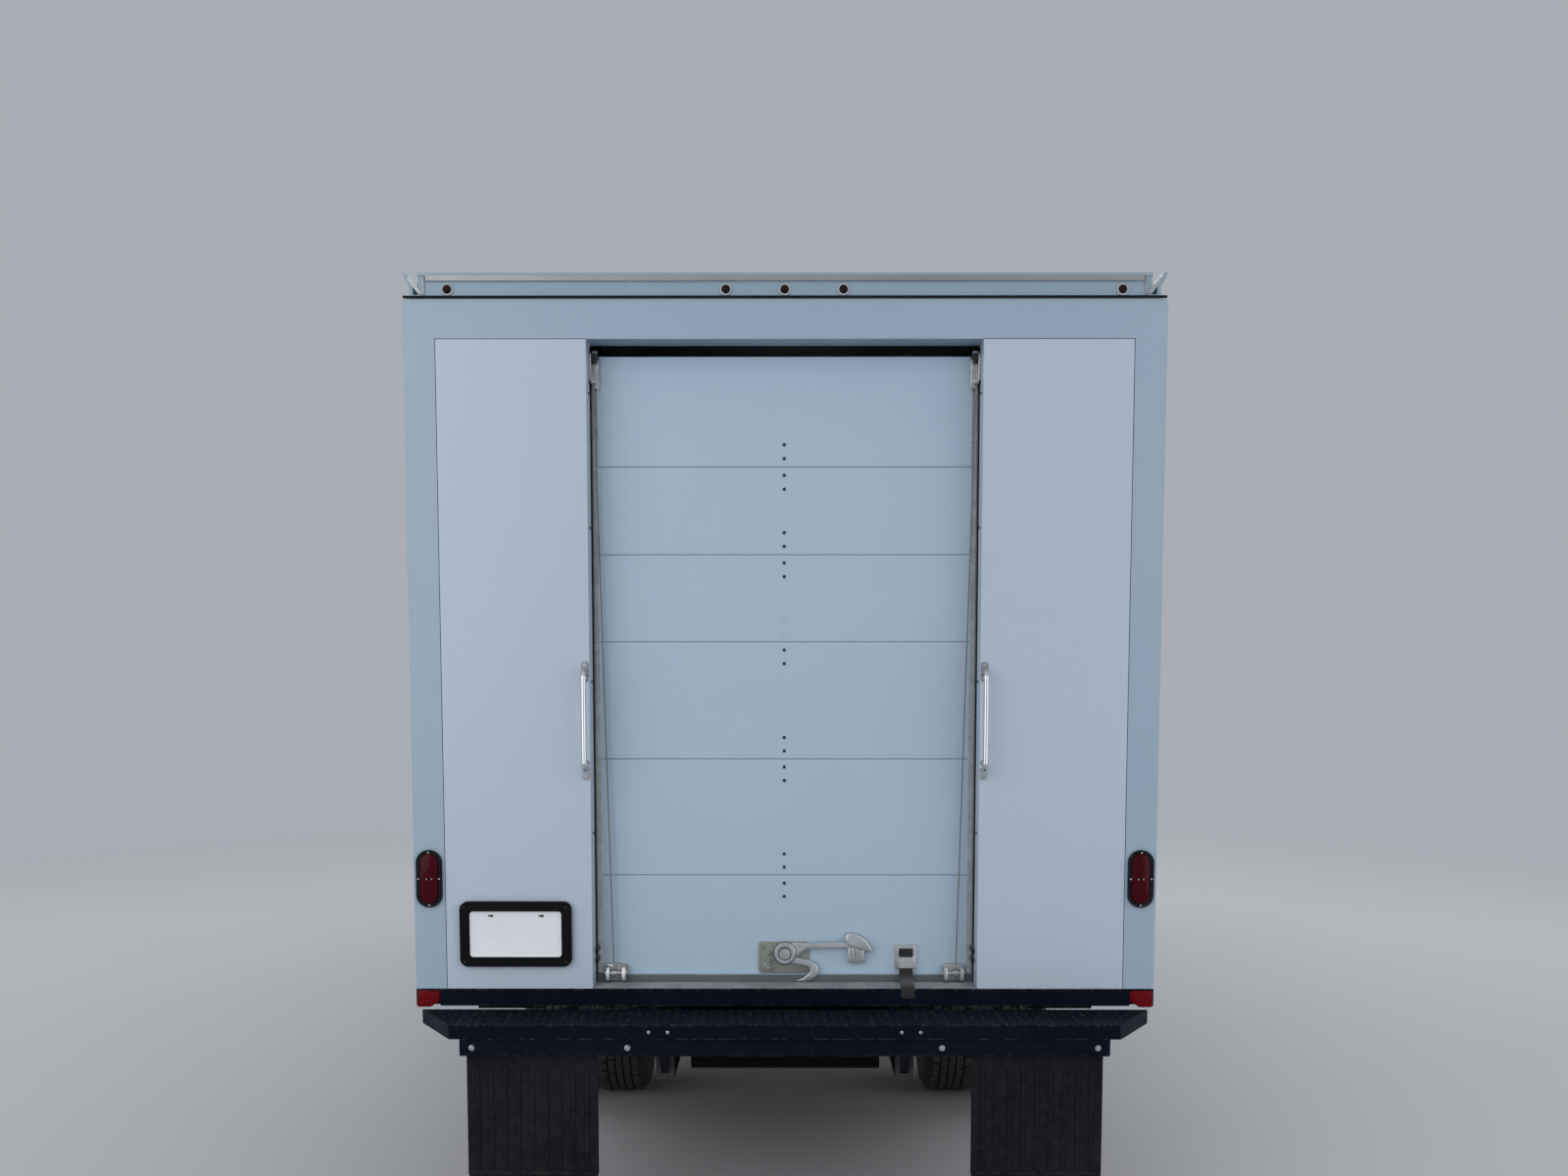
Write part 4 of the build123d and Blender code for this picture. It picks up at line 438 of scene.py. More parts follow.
def addSpin(bm, profile, centre, axis, out, count=32):
    # profile: (radius, distance along axis); out is the direction of the radius before the spin
    axis, out, centre = Vector(axis).normalized(), Vector(out).normalized(), Vector(centre)
    verts = [bm.verts.new(centre + out * radius + axis * along) for radius, along in profile]
    edges = [bm.edges.new(pair) for pair in zip(verts, verts[1:])]
    bmesh.ops.spin(bm, geom=verts + edges, cent=centre, axis=axis, dvec=(0, 0, 0), angle=math.tau, steps=count,
                   use_merge=True, use_duplicate=False)


def extruded(bm, faces, step):
    # Moves a copy of the faces by step and returns the copy's faces
    made = bmesh.ops.extrude_face_region(bm, geom=faces)["geom"]
    bmesh.ops.translate(bm, vec=step, verts=[item for item in made if isinstance(item, bmesh.types.BMVert)])
    return [item for item in made if isinstance(item, bmesh.types.BMFace)]


def addOutline(bm, points, depth, bevel=0.0, segments=2):
    # Flat outline given a thickness along the vector depth
    far = extruded(bm, [bm.faces.new([bm.verts.new(point) for point in points])], depth)
    if bevel:
        bevelEdges(bm, far, bevel, segments)


def addRimmed(bm, points, depth, rim, sunk):
    # As addOutline, with the front sunk inside a rim
    front = extruded(bm, [bm.faces.new([bm.verts.new(point) for point in points])], (0, depth, 0))
    bmesh.ops.inset_individual(bm, faces=front, thickness=rim, use_even_offset=True)
    bmesh.ops.translate(bm, vec=(0, sunk, 0), verts=list({vert for face in front for vert in face.verts}))


def ringPoint(centre, radius, turn, plane="xz"):
    # A point at an angle on a circle that lies across the van or along it
    first, second = radius * math.cos(turn), radius * math.sin(turn)
    return Vector(centre) + (Vector((first, 0, second)) if plane == "xz" else Vector((0, first, second)))


def ovalPoints(centre, width, height, count):
    # Upright oval in the rear plane: two half rounds joined by straight sides
    turns = [math.tau * (number + 0.5) / count for number in range(count)]
    half = (height - width) / 2
    return [ringPoint(centre, width / 2, turn) + upward * math.copysign(half, math.sin(turn)) for turn in turns]


def cornerPoints(x, z, y, radius, steps=5):
    # Rounded rectangle in a plane across the van
    points = []
    for number, (wayX, wayZ) in enumerate(((1, 1), (-1, 1), (-1, -1), (1, -1))):
        middle = (x[wayX > 0] - wayX * radius, y, z[wayZ > 0] - wayZ * radius)
        points += [ringPoint(middle, radius, math.radians(90 * (number + step / steps)))
                   for step in range(steps + 1)]
    return points


def joinRings(bm, rings, closed):
    # Faces between rings of points, and over the two ends of an open row of rings
    for first, second in list(zip(rings, rings[1:])) + ([(rings[-1], rings[0])] if closed else []):
        for number in range(len(first)):
            following = (number + 1) % len(first)
            bm.faces.new((first[number], first[following], second[following], second[number]))
    if not closed:
        bm.faces.new(rings[0])
        bm.faces.new(list(reversed(rings[-1])))


def addGrid(bm, rows):
    # A sheet of faces over rows of vertices
    for first, second in zip(rows, rows[1:]):
        for number in range(len(first) - 1):
            bm.faces.new((first[number], first[number + 1], second[number + 1], second[number]))


def mirrorAll(bm):
    bmesh.ops.mirror(bm, geom=bm.verts[:] + bm.edges[:] + bm.faces[:], matrix=Matrix.Identity(4), merge_dist=-1,
                     axis="X")


def toMesh(bm, name):
    mesh = bpy.data.meshes.new(name)
    bm.to_mesh(mesh)
    bm.free()
    return mesh


def pour(source, target):
    # Adds one shape to another
    scratch = toMesh(source, "scratch")
    target.from_mesh(scratch)
    bpy.data.meshes.remove(scratch)


def finishPiece(bm, name, finish, replaces=(), body="chassis", angle=35, mirror=False):
    if mirror:
        mirrorAll(bm)
    bmesh.ops.remove_doubles(bm, verts=bm.verts, dist=1e-6)
    bmesh.ops.recalc_face_normals(bm, faces=bm.faces)
    mesh = toMesh(bm, name)
    mesh.materials.append(materials[finish])
    mesh.polygons.foreach_set("use_smooth", [True] * len(mesh.polygons))
    mesh.set_sharp_from_angle(angle=math.radians(angle))
    piece = bpy.data.objects.new(name, mesh)
    bpy.context.scene.collection.objects.link(piece)
    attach(piece, body)
    if replaces:
        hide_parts(*replaces)
    return piece


# Rear lamps: a lens, a rubber ring round it and its small clips
rearLamps = {
    "markerXs": (-1.073, -0.187, 0.0, 0.187, 1.073), "markerZ": 3.094, "frontMarkerZ": 3.04, "radius": 0.0135,
    "dome": ((0.0, 0.0105), (0.5, 0.0095), (0.85, 0.0065), (1.0, 0.002), (1.0, -0.001)),
    "ring": ((0.0, 0.0), (0.0005, 0.005), (0.003, 0.0058), (0.0058, 0.004), (0.0065, 0.0), (0.0, 0.0)),
    "oval": (1.168, 1.205), "size": (0.084, 0.19), "rim": 0.013, "clipIn": 0.008,
    "corner": ((1.1408, 0.8315), (1.2142, 0.8315), (1.2142, 0.7765), (1.172, 0.7765), (1.1408, 0.797)),
}


def makeRearLamps(spec):
    domes, rings, lens, rubber, clips, corner, base = newShapes(7)
    radius = spec["radius"]
    for x in spec["markerXs"]:
        for y, z, way in ((rear, spec["markerZ"], -1), (van["boxFront"] + 0.001, spec["frontMarkerZ"], 1)):
            addSpin(domes, [(radius * share, along) for share, along in spec["dome"]], (x, y, z), (0, way, 0),
                    across, 20)
            addSpin(rings, [(radius + more, along) for more, along in spec["ring"]], (x, y, z), (0, way, 0),
                    across, 24)
    (x, z), (width, height), rim = spec["oval"], spec["size"], spec["rim"]
    inner = ovalPoints((x, rear - 0.001, z), width - 2 * rim, height - 2 * rim, 32)
    addOutline(lens, inner, backward * 0.009, 0.004, 3)
    addRimmed(rubber, ovalPoints((x, rear + 0.002, z), width, height, 32), -0.012, rim, 0.006)
    for wayX, wayZ in ((0, 1), (0, -1), (1, 0), (-1, 0)):
        clipX, clipZ = x + wayX * (width / 2 - spec["clipIn"]), z + wayZ * (height / 2 - spec["clipIn"])
        addBar(clips, around(clipX, 0.003), (rear - 0.0125, rear - 0.009), around(clipZ, 0.0025), 0.001)
    for screwX in (x - 0.009, x + 0.008):
        addRivet(clips, (screwX, rear - 0.0095, z - 0.001), backward, 0.0026, 0.0016)
    for part, start, depth, bevel in ((corner, 0.012, 0.018, 0.004), (base, 0.0205, 0.0085, 0.0)):
        addOutline(part, [(x, rear + start, z) for x, z in spec["corner"]], backward * depth, bevel, 3)
    for part, name, finish, mirror in (
        (domes, "markerLenses", "markerDark", False), (rings, "markerRings", "grommetGrey", False),
        (lens, "tailLenses", "lampRed", True), (rubber, "tailRings", "flapRubber", True),
        (clips, "tailClips", "grommetGrey", True),
        (corner, "cornerLenses", "cornerRed", True), (base, "cornerLampBodies", "mouldedBlack", True),
    ):
        finishPiece(part, name, finish, ["lamps"], mirror=mirror)


makeRearLamps(rearLamps)
print("rear lamps done")

# Blank plates, each with its two screws
plates = (
    {"name": "rearPlate", "x": (-1.0355, -0.7345), "z": (0.9465, 1.0975), "y": -2.9146, "way": -1,
     "slot": "moulded_black", "screws": ((-0.966, 1.083), (-0.8, 1.083))},
    {"name": "frontPlate", "x": (-0.1525, 0.1525), "z": (0.4285, 0.5805), "y": 3.104, "way": 1,
     "slot": "bumper_chrome", "screws": ((-0.0889, 0.56), (0.0889, 0.56))},
)


def makePlate(spec):
    plate, screws = newShapes(2)
    y, way = spec["y"], spec["way"]
    addRimmed(plate, cornerPoints(spec["x"], spec["z"], y, 0.01), 0.0022 * way, 0.004, -0.0011 * way)
    for x, z in spec["screws"]:
        addBar(screws, around(x, 0.009), around(y + 0.0012 * way, 0.0004), around(z, 0.0028), 0.0003)
        addRivet(screws, (x + 0.002, y + 0.0014 * way, z), (0, way, 0), 0.0045, 0.0022, 12)
    finishPiece(plate, spec["name"], "plateWhite")
    finishPiece(screws, spec["name"] + "Screws", "darkBolt")


for spec in plates:
    makePlate(spec)

# Roller door: rivets down the middle, seals, edge caps and the rail at its foot
rollerDoor = {
    "seams": (1.2013, 1.5923, 1.9813, 2.2673, 2.5523), "rivetSteps": (-0.072, -0.027, 0.027, 0.072),
    "rivetX": -0.002, "rivetRadius": 0.0062, "paleSeam": 1.9813, "half": 0.6335,
    "ribs": (0.8445, 0.8525, 0.8605),
}


def makeRollerDoor(spec):
    dark, pale, seals, rail, edges = newShapes(5)
    x, radius, half = spec["rivetX"], spec["rivetRadius"], spec["half"]
    for seam in spec["seams"]:
        for rise in spec["rivetSteps"]:
            isPale = seam == spec["paleSeam"] and rise > 0
            addRivet(pale if isPale else dark, (x, doorFace, seam + rise), backward, radius, 0.0035, 12)
            addDisc(pale, (x, doorFace + 0.0004, seam + rise), backward, radius * 1.45, 0.0012, 14)
        addBar(seals, (-0.652, 0.652), (doorFace + 0.0028, doorFace + 0.0045), around(seam, 0.0012))
    for way in (-1, 1):
        addBar(seals, around(way * half, 0.0015), (doorFace - 0.018, doorFace + 0.001), (0.842, 2.932))
        addBar(edges, (way * 0.612, way * 0.63), (doorFace - 0.0022, doorFace + 0.0004), (0.868, 2.925), 0.0008,
               1)
    addBar(rail, (-half, half), (doorFace - 0.0135, doorFace + 0.001), (0.8395, 0.866), 0.001, 1)
    for z in spec["ribs"]:
        addBar(rail, (-half, half), (doorFace - 0.0155, doorFace - 0.013), around(z, 0.0014), 0.0006, 1)
    finishPiece(dark, "doorRivets", "darkBolt")
    finishPiece(pale, "doorWashers", "doorWhite")
    finishPiece(seals, "doorSeals", "flapRubber")
    finishPiece(rail, "doorFootRail", "doorRail")
    finishPiece(edges, "doorEdgeCaps", "boltSteel")


makeRollerDoor(rollerDoor)

# Sill tread, the dark strip at its edge and what is bolted to the jambs
sill = {"half": 0.634, "z": 0.8377, "grooves": 7, "pitch": 0.0125, "boltZ": (0.916, 0.95),
        "rivetZ": (1.35, 1.85, 2.35, 2.78)}


def makeSill(spec):
    tread, lip, jamb = newShapes(3)
    half, z = spec["half"], spec["z"]
    addBar(tread, (-half, half), (rear + 0.0005, doorFace - 0.002), (z, z + 0.0025), 0.0008, 1)
    for number in range(spec["grooves"]):
        y = rear + 0.012 + number * spec["pitch"]
        addBar(tread, (-half, half), (y, y + 0.004), (z + 0.002, z + 0.0042), 0.0008, 1)
    addBar(lip, (-1.2185, 1.2185), (rear - 0.0015, rear + 0.001), (z - 0.006, z - 0.0005), 0.0008, 1)
    for boltZ in spec["boltZ"]:
        addBolt(jamb, (0.632, rear + 0.074, boltZ), -across, 0.0085)
    for rivetZ in spec["rivetZ"]:
        addRivet(jamb, (0.6345, rear + 0.05, rivetZ), -across, 0.0055, 0.003)
    finishPiece(tread, "sillTread", "thresholdSteel")
    finishPiece(lip, "sillLip", "stepBlack")
    finishPiece(jamb, "jambBolts", "darkBolt", mirror=True)


makeSill(sill)
print("roller door done")

# Lift cables, their anchors at the foot of the door and the rollers at its top
lift = {
    "y": rear + 0.1003 - 0.026, "low": (0.573, 0.875), "high": (0.621, 2.822), "cableRadius": 0.0025,
    "anchorX": (0.533, 0.6), "anchorZ": (0.846, 0.897), "pinZ": 0.873,
    "pulley": ((0.0, -0.016), (0.006, -0.016), (0.006, -0.012), (0.0142, -0.012), (0.0142, -0.008),
               (0.0115, -0.004), (0.0115, 0.004), (0.0142, 0.008), (0.0142, 0.012), (0.0, 0.012)),
}


def makeCable(name, way):
    y, low, high = lift["y"], lift["low"], lift["high"]
    curve = bpy.data.curves.new("liftCable", "CURVE")
    curve.dimensions = "3D"
    curve.bevel_depth = lift["cableRadius"]
    curve.bevel_resolution = 3
    curve.use_fill_caps = True
    spline = curve.splines.new("NURBS")
    spline.points.add(3)
    for number, point in enumerate(spline.points):
        share = number / 3
        point.co = (way * (low[0] + (high[0] - low[0]) * share), y, low[1] + (high[1] - low[1]) * share, 1)
    spline.order_u = 3
    spline.use_endpoint_u = True
    curve.materials.append(materials["cableWire"])
    cable = bpy.data.objects.new(name, curve)
    bpy.context.scene.collection.objects.link(cable)
    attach(cable, "chassis")
    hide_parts("door_fittings")


def makeLift(spec):
    anchors, brackets, pulley = newShapes(3)
    y, (x, z), top, pinZ = spec["y"], (spec["anchorX"], spec["anchorZ"]), spec["high"][1], spec["pinZ"]
    for start in (x[0], x[1] - 0.013):
        cheek = ((doorFace - 0.0005, z[0]), (y - 0.013, z[0] + 0.004), (y - 0.015, z[0] + 0.03),
                 (y - 0.006, z[1] - 0.004), (doorFace - 0.006, z[1]), (doorFace - 0.0005, z[1]))
        addOutline(anchors, [(start, *point) for point in cheek], across * 0.013, 0.002)
    addBar(anchors, x, (doorFace - 0.016, doorFace - 0.0004), (z[0], z[1] + 0.004), 0.002)
    addDisc(anchors, (x[0] - 0.004, y, pinZ), across, 0.0075, x[1] - x[0] + 0.008, 18)
    addDisc(anchors, (spec["low"][0] - 0.007, y, pinZ), across, 0.0125, 0.014, 20)
    addDisc(anchors, (spec["low"][0], y, 0.886), upward, 0.0048, 0.024, 12)
    addBar(brackets, (0.612, 0.6346), around(y, 0.014), (top - 0.008, top + 0.002), 0.0015)
    addBar(brackets, (0.6265, 0.6346), around(y, 0.014), (top - 0.008, 2.9105), 0.0015)
    addBar(brackets, (0.604, 0.6265), (y + 0.004, y + 0.016), (2.8, 2.9), 0.002)
    for rivetZ in (2.828, 2.868):
        addRivet(brackets, (0.615, y + 0.004, rivetZ), backward, 0.004, 0.0025)
    addSpin(pulley, spec["pulley"], (0.6172, y, 2.897), forward, across, 24)
    for part, name, finish in (
        (anchors, "cableAnchors", "boltSteel"), (brackets, "rollerBrackets", "boltSteel"),
        (pulley, "cablePulleys", "darkBolt"),
    ):
        finishPiece(part, name, finish, ["door_fittings"], mirror=True)


for side, way in sides:
    makeCable(side + "LiftCable", way)
makeLift(lift)
print("lift cables done")

# Latch: pivot, lever, keeper and hook on their backing plate
latch = {
    "z": 0.94, "plateX": (-0.088, 0.082), "plateZ": (0.869, 0.975), "prongs": (0.216, 0.231, 0.245),
    "bolts": ((-0.074, 0.958), (-0.074, 0.888), (0.066, 0.885), (0.066, 0.958)),
    "lever": ((-0.01, 0.97), (0.04, 0.976), (0.06, 0.9735), (0.228, 0.9765), (0.236, 0.968), (0.228, 0.9585),
              (0.074, 0.954), (0.052, 0.94), (0.03, 0.914), (0.0, 0.905)),
    "hook": ((0.022, 0.93), (0.052, 0.922), (0.086, 0.914), (0.108, 0.898), (0.1135, 0.88), (0.108, 0.864),
             (0.092, 0.851), (0.066, 0.8435), (0.036, 0.8445), (0.062, 0.856), (0.08, 0.869), (0.086, 0.882),
             (0.08, 0.893), (0.056, 0.9), (0.018, 0.906)),
    "keeper": ((0.206, 0.972), (0.202, 0.99), (0.208, 1.004), (0.222, 1.0075), (0.24, 1.004), (0.256, 0.996),
               (0.272, 0.984), (0.284, 0.968), (0.296, 0.949), (0.288, 0.944), (0.266, 0.95), (0.246, 0.957),
               (0.226, 0.962)),
    "disc": ((0.0, -0.033), (0.008, -0.033), (0.01, -0.031), (0.0185, -0.031), (0.0205, -0.029),
             (0.0205, -0.026), (0.034, -0.026), (0.0375, -0.023), (0.038, -0.012), (0.038, -0.004)),
    "prong": ((0.0, 0.962), (0.007, 0.962), (0.012, 0.928), (0.009, 0.922), (0.003, 0.93)),
    "grooves": ((0.0205, -0.0315), (0.0385, -0.0245)),
}


def makeLatch(spec):
    base, arms, catch, ring = newShapes(4)
    centre = (0, doorFace, spec["z"])
    addOutline(base, cornerPoints(spec["plateX"], spec["plateZ"], doorFace - 0.0006, 0.01), backward * 0.0045,
               0.0012)
    addBar(base, (-0.072, -0.05), (doorFace - 0.0085, doorFace - 0.005), (0.874, 0.905), 0.002)
    for x, z in spec["bolts"]:
        addBolt(base, (x, doorFace - 0.005, z), backward, 0.006)
    for start in (0.88, 0.905, 0.93):
        addBar(base, (-0.06, -0.045), (doorFace - 0.011, doorFace - 0.005), (start, start + 0.013), 0.003)
    for part, key, start, depth, bevel in (
        (arms, "hook", 0.01, 0.014, 0.003), (arms, "lever", 0.013, 0.011, 0.0035),
        (catch, "keeper", 0.005, 0.024, 0.004),
    ):
        addOutline(part, [(x, doorFace - start, z) for x, z in spec[key]], backward * depth, bevel, 3)
    addSpin(arms, spec["disc"], centre, forward, across, 40)
    addBar(catch, (0.213, 0.268), (doorFace - 0.02, doorFace - 0.0006), (0.905, 0.962), 0.004)
    for x in spec["prongs"]:
        addOutline(catch, [(x + step, doorFace - 0.012, z) for step, z in spec["prong"]], backward * 0.008,
                   0.0015)
    # Dark rings at the steps of the disc: painted shade in its grooves
    for radius, face in spec["grooves"]:
        low, high = around(radius, 0.0011)
        addSpin(ring, [(low, face), (high, face), (high, -0.024), (low, -0.024), (low, face)], centre, forward,
                across, 40)
    for part, name, finish in (
        (base, "latchBase", "latchPlate"), (arms, "latchArms", "latchSteel"),
        (catch, "latchKeeper", "latchSteel"), (ring, "latchGrooveShade", "darkBolt"),
    ):
        finishPiece(part, name, finish, ["door_latch"])


makeLatch(latch)
print("latch done")

# Pull strap and its bracket; the route is (distance from the door's face, height)
strap = {
    "x": (0.384, 0.43), "plateX": (0.37, 0.444), "plateZ": (0.882, 0.966), "slotZ": (0.93, 0.953),
    "thickness": 0.003, "clampZ": (0.889, 0.926), "rivetZ": (0.898, 0.917), "columns": 7,
    "route": ((-0.0165, 0.938), (-0.0185, 0.905), (-0.0195, 0.872), (-0.036, 0.857), (-0.075, 0.8505),
              (-0.096, 0.847), (-0.1055, 0.838), (-0.1068, 0.822), (-0.106, 0.8062)),
}


def makeStrap(spec):
    bracket, shade, clamp, webbing = newShapes(4)
    (x0, x1), (z0, z1), (low, high), (a, b) = spec["plateX"], spec["plateZ"], spec["slotZ"], spec["x"]
    addOutline(bracket, cornerPoints((x0, x1), (z0, z1), doorFace - 0.0006, 0.006), backward * 0.004, 0.001)
    pad = cornerPoints((x0 + 0.008, x1 - 0.008), (z0 + 0.004, low), doorFace - 0.0045, 0.004)
    addOutline(bracket, pad, backward * 0.01, 0.002)
    deep = (doorFace - 0.0145, doorFace - 0.0045)
    addBar(bracket, (x0 + 0.008, x1 - 0.008), deep, (high, z1 - 0.004), 0.002)
    for x in (x0 + 0.008, x1 - 0.013):
        addBar(bracket, (x, x + 0.005), deep, (low - 0.002, high + 0.002), 0.001)
    # Dark bar in the bracket's slot: painted shade in the opening
    addBar(shade, (x0 + 0.013, x1 - 0.013), (doorFace - 0.009, doorFace - 0.0046), (low, high), 0.0005)
    addBar(clamp, (a - 0.001, b + 0.001), (doorFace - 0.0224, doorFace - 0.0198), spec["clampZ"], 0.0008)
    for z in spec["rivetZ"]:
        addRivet(clamp, ((a + b) / 2, doorFace - 0.0224, z), backward, 0.0042, 0.002, 12)
    for part, name, finish in (
        (bracket, "strapBracket", "latchSteel"), (shade, "strapSlotShade", "darkBolt"),
        (clamp, "strapClamp", "grommetGrey"),
    ):
        finishPiece(part, name, finish, ["door_fittings"])
    xs = [a + (b - a) * step / (spec["columns"] - 1) for step in range(spec["columns"])]
    addGrid(webbing, [[webbing.verts.new((x, doorFace + y, z)) for x in xs] for y, z in spec["route"]])
    piece = finishPiece(webbing, "pullStrap", "strapWebbing", ["pull_strap"], angle=60)
    thick = piece.modifiers.new("thickness", "SOLIDIFY")
    thick.thickness = spec["thickness"]
    thick.offset = 0
    soft = piece.modifiers.new("soften", "SUBSURF")
    soft.levels = soft.render_levels = 2
    flatLength = sum(math.dist(p, q) for p, q in zip(spec["route"], spec["route"][1:]))


makeStrap(strap)
print("strap done")

# Bolts in the feet of the grab handles and screws of the plate holder
rearBolts = {"handleX": 0.648, "feet": (1.563, 1.883), "spread": 0.021, "holderX": (-1.052, -0.718),
             "holderZ": (0.931, 1.113)}


def makeRearBolts(spec):
    bolts, screws = newShapes(2)
    for foot in spec["feet"]:
        for z in around(foot, spec["spread"]):
            addBolt(bolts, (spec["handleX"], rear - 0.0053, z), backward, 0.0058)
    for x in spec["holderX"]:
        for z in spec["holderZ"]:
            addRivet(screws, (x, rear - 0.0203, z), backward, 0.004, 0.002, 12)
    finishPiece(bolts, "grabBolts", "boltSteel", mirror=True)
    finishPiece(screws, "holderScrews", "darkBolt")


makeRearBolts(rearBolts)

# Step bumper: raised lozenges on the deck, its edge and its bolts
stepDeck = {
    "far": (1.2, -2.9038), "near": (1.065, -3.1035), "top": 0.768, "pitchX": 0.03, "pitchY": 0.0235,
    "lozenge": (0.0115, 0.0038, 0.0016), "boltX": (0.5, 0.995), "screwX": (0.371, 0.431),
}


def addLozenge(bm, centre, turn):
    longHalf, shortHalf, height = stepDeck["lozenge"]
    along = Vector((math.cos(turn), math.sin(turn), 0))
    side = Vector((-along.y, along.x, 0))
    base = [bm.verts.new(centre + step) for step in (along * longHalf, side * shortHalf, -along * longHalf,
                                                     -side * shortHalf)]
    crest = [bm.verts.new(centre + along * longHalf * way / 2 + upward * height) for way in (1, -1)]
    for corners in ((base[0], base[1], crest[0]), (base[1], base[2], crest[1]), (base[2], base[3], crest[1]),
                    (base[3], base[0], crest[0]), (crest[0], base[1], crest[1]), (crest[1], base[3], crest[0])):
        bm.faces.new(corners)


def makeStep(spec):
    tread, trim, bolts = newShapes(3)
    (farX, farY), (nearX, nearY) = spec["far"], spec["near"]
    for row in range(int((farY - nearY - 0.02) / spec["pitchY"])):
        y = nearY + 0.016 + row * spec["pitchY"]
        half = nearX + (farX - nearX) * (y - nearY) / (farY - nearY) - 0.026
        for number in range(int(2 * half / spec["pitchX"])):
            x = -half + (number + 0.5 * (row % 2)) * spec["pitchX"] + 0.01
            addLozenge(tread, Vector((x, y, spec["top"])), math.radians(45 if (row + number) % 2 else -45))
    inner = nearX - 0.03
    addBar(trim, (-nearX, nearX), (nearY - 0.0004, nearY + 0.004), (0.7625, 0.7695), 0.0015)
    addBar(trim, (-inner, inner), (nearY + 0.01, nearY + 0.024), (0.664, 0.7215), 0.003)
    addBar(trim, (-inner, inner), (nearY + 0.01, nearY + 0.06), (0.664, 0.672), 0.003)
    for way in (-1, 1):
        for x in spec["boltX"]:
            addBolt(bolts, (way * x, nearY + 0.01, 0.692), backward, 0.0075)
        for x in spec["screwX"]:
            addBolt(bolts, (way * x, nearY + 0.003, 0.745), backward, 0.006)
    finishPiece(tread, "deckTread", "stepBlack", angle=20)
    finishPiece(trim, "stepEdge", "stepBlack")
    finishPiece(bolts, "stepBolts", "boltSteel")


makeStep(stepDeck)

# Mud flaps: ribs, and a clamp bar with bolts at the top
flaps = {"x": (0.6, 1.02), "z": (0.25, 0.721), "y": -3.0535, "ribs": 9, "bolts": 4}


def makeFlaps(spec):
    ribs, clamps = newShapes(2)
    (x0, x1), (z0, z1), y = spec["x"], spec["z"], spec["y"]
    for number in range(spec["ribs"]):
        x = x0 + 0.035 + number * (x1 - x0 - 0.07) / (spec["ribs"] - 1)
        addBar(ribs, around(x, 0.006), (y - 0.0085, y - 0.0045), (z0 + 0.03, z1 - 0.1), 0.002)
    addBar(ribs, (x0 + 0.01, x1 - 0.01), (y - 0.0085, y - 0.0045), (z0 + 0.01, z0 + 0.024), 0.002)
    addBar(clamps, (x0 + 0.004, x1 - 0.004), (y - 0.0095, y - 0.0048), (z1 - 0.04, z1 - 0.012), 0.0015)
    for number in range(spec["bolts"]):
        x = x0 + 0.045 + number * (x1 - x0 - 0.09) / (spec["bolts"] - 1)
        addBolt(clamps, (x, y - 0.0095, z1 - 0.026), backward, 0.007)
    finishPiece(ribs, "flapRibs", "flapRubber", mirror=True)
    finishPiece(clamps, "flapClamps", "stepBlack", mirror=True)


makeFlaps(flaps)
print("step and flaps done")


# Tyres with tread blocks; each half's profile is (radius, distance from the middle)
tyre = {
    "radius": 0.3715, "baseRadius": 0.3638, "sides": 168, "columns": (0.084, 0.053, 0.0465, 0.019, 0.0125),
    "half": ((0.2068, 0.0785), (0.2235, 0.0795), (0.23, 0.09), (0.244, 0.0975), (0.2475, 0.101), (0.253, 0.101),
             (0.256, 0.1), (0.275, 0.1085), (0.29, 0.1112), (0.308, 0.111), (0.325, 0.108), (0.3285, 0.1088),
             (0.333, 0.108), (0.336, 0.105), (0.35, 0.0985), (0.359, 0.0925), (0.3638, 0.084)),
    "shoulderGap": 4, "innerGap": 6,
}


def addTyre(bm, x, y):
    own = bmesh.new()
    radius, count, (outer, wide, mid, near, core) = tyre["baseRadius"], tyre["sides"], tyre["columns"]
    half = list(tyre["half"]) + [(radius, a) for a in (wide, mid, near, core)]
    centre = Vector((x, y, axleZ))
    profile = [(r, -a) for r, a in half] + half[::-1] + [(half[0][0], -half[0][1])]
    addSpin(own, profile, centre, across, upward, count)
    bmesh.ops.remove_doubles(own, verts=own.verts, dist=1e-6)
    bmesh.ops.recalc_face_normals(own, faces=own.faces)
    blocks = []
    for face in own.faces:
        at = face.calc_center_median() - centre
        if math.hypot(at.y, at.z) < radius - 0.002:
            continue
        reach = abs(at.x)
        turn = int(math.atan2(at.z, at.y) / math.tau * count + count) + (2 if at.x > 0 else 0)
        isShoulder = wide < reach < outer and turn % tyre["shoulderGap"]
        isInner = near < reach < mid and (turn + 1) % tyre["innerGap"]
        if isShoulder or isInner or reach < core:
            blocks.append(face)
    made = bmesh.ops.extrude_face_region(own, geom=blocks)["geom"]
    grow = tyre["radius"] / radius
    bmesh.ops.scale(own, vec=(1, grow, grow), space=Matrix.Translation(-centre),
                    verts=[item for item in made if isinstance(item, bmesh.types.BMVert)])
    pour(own, bm)


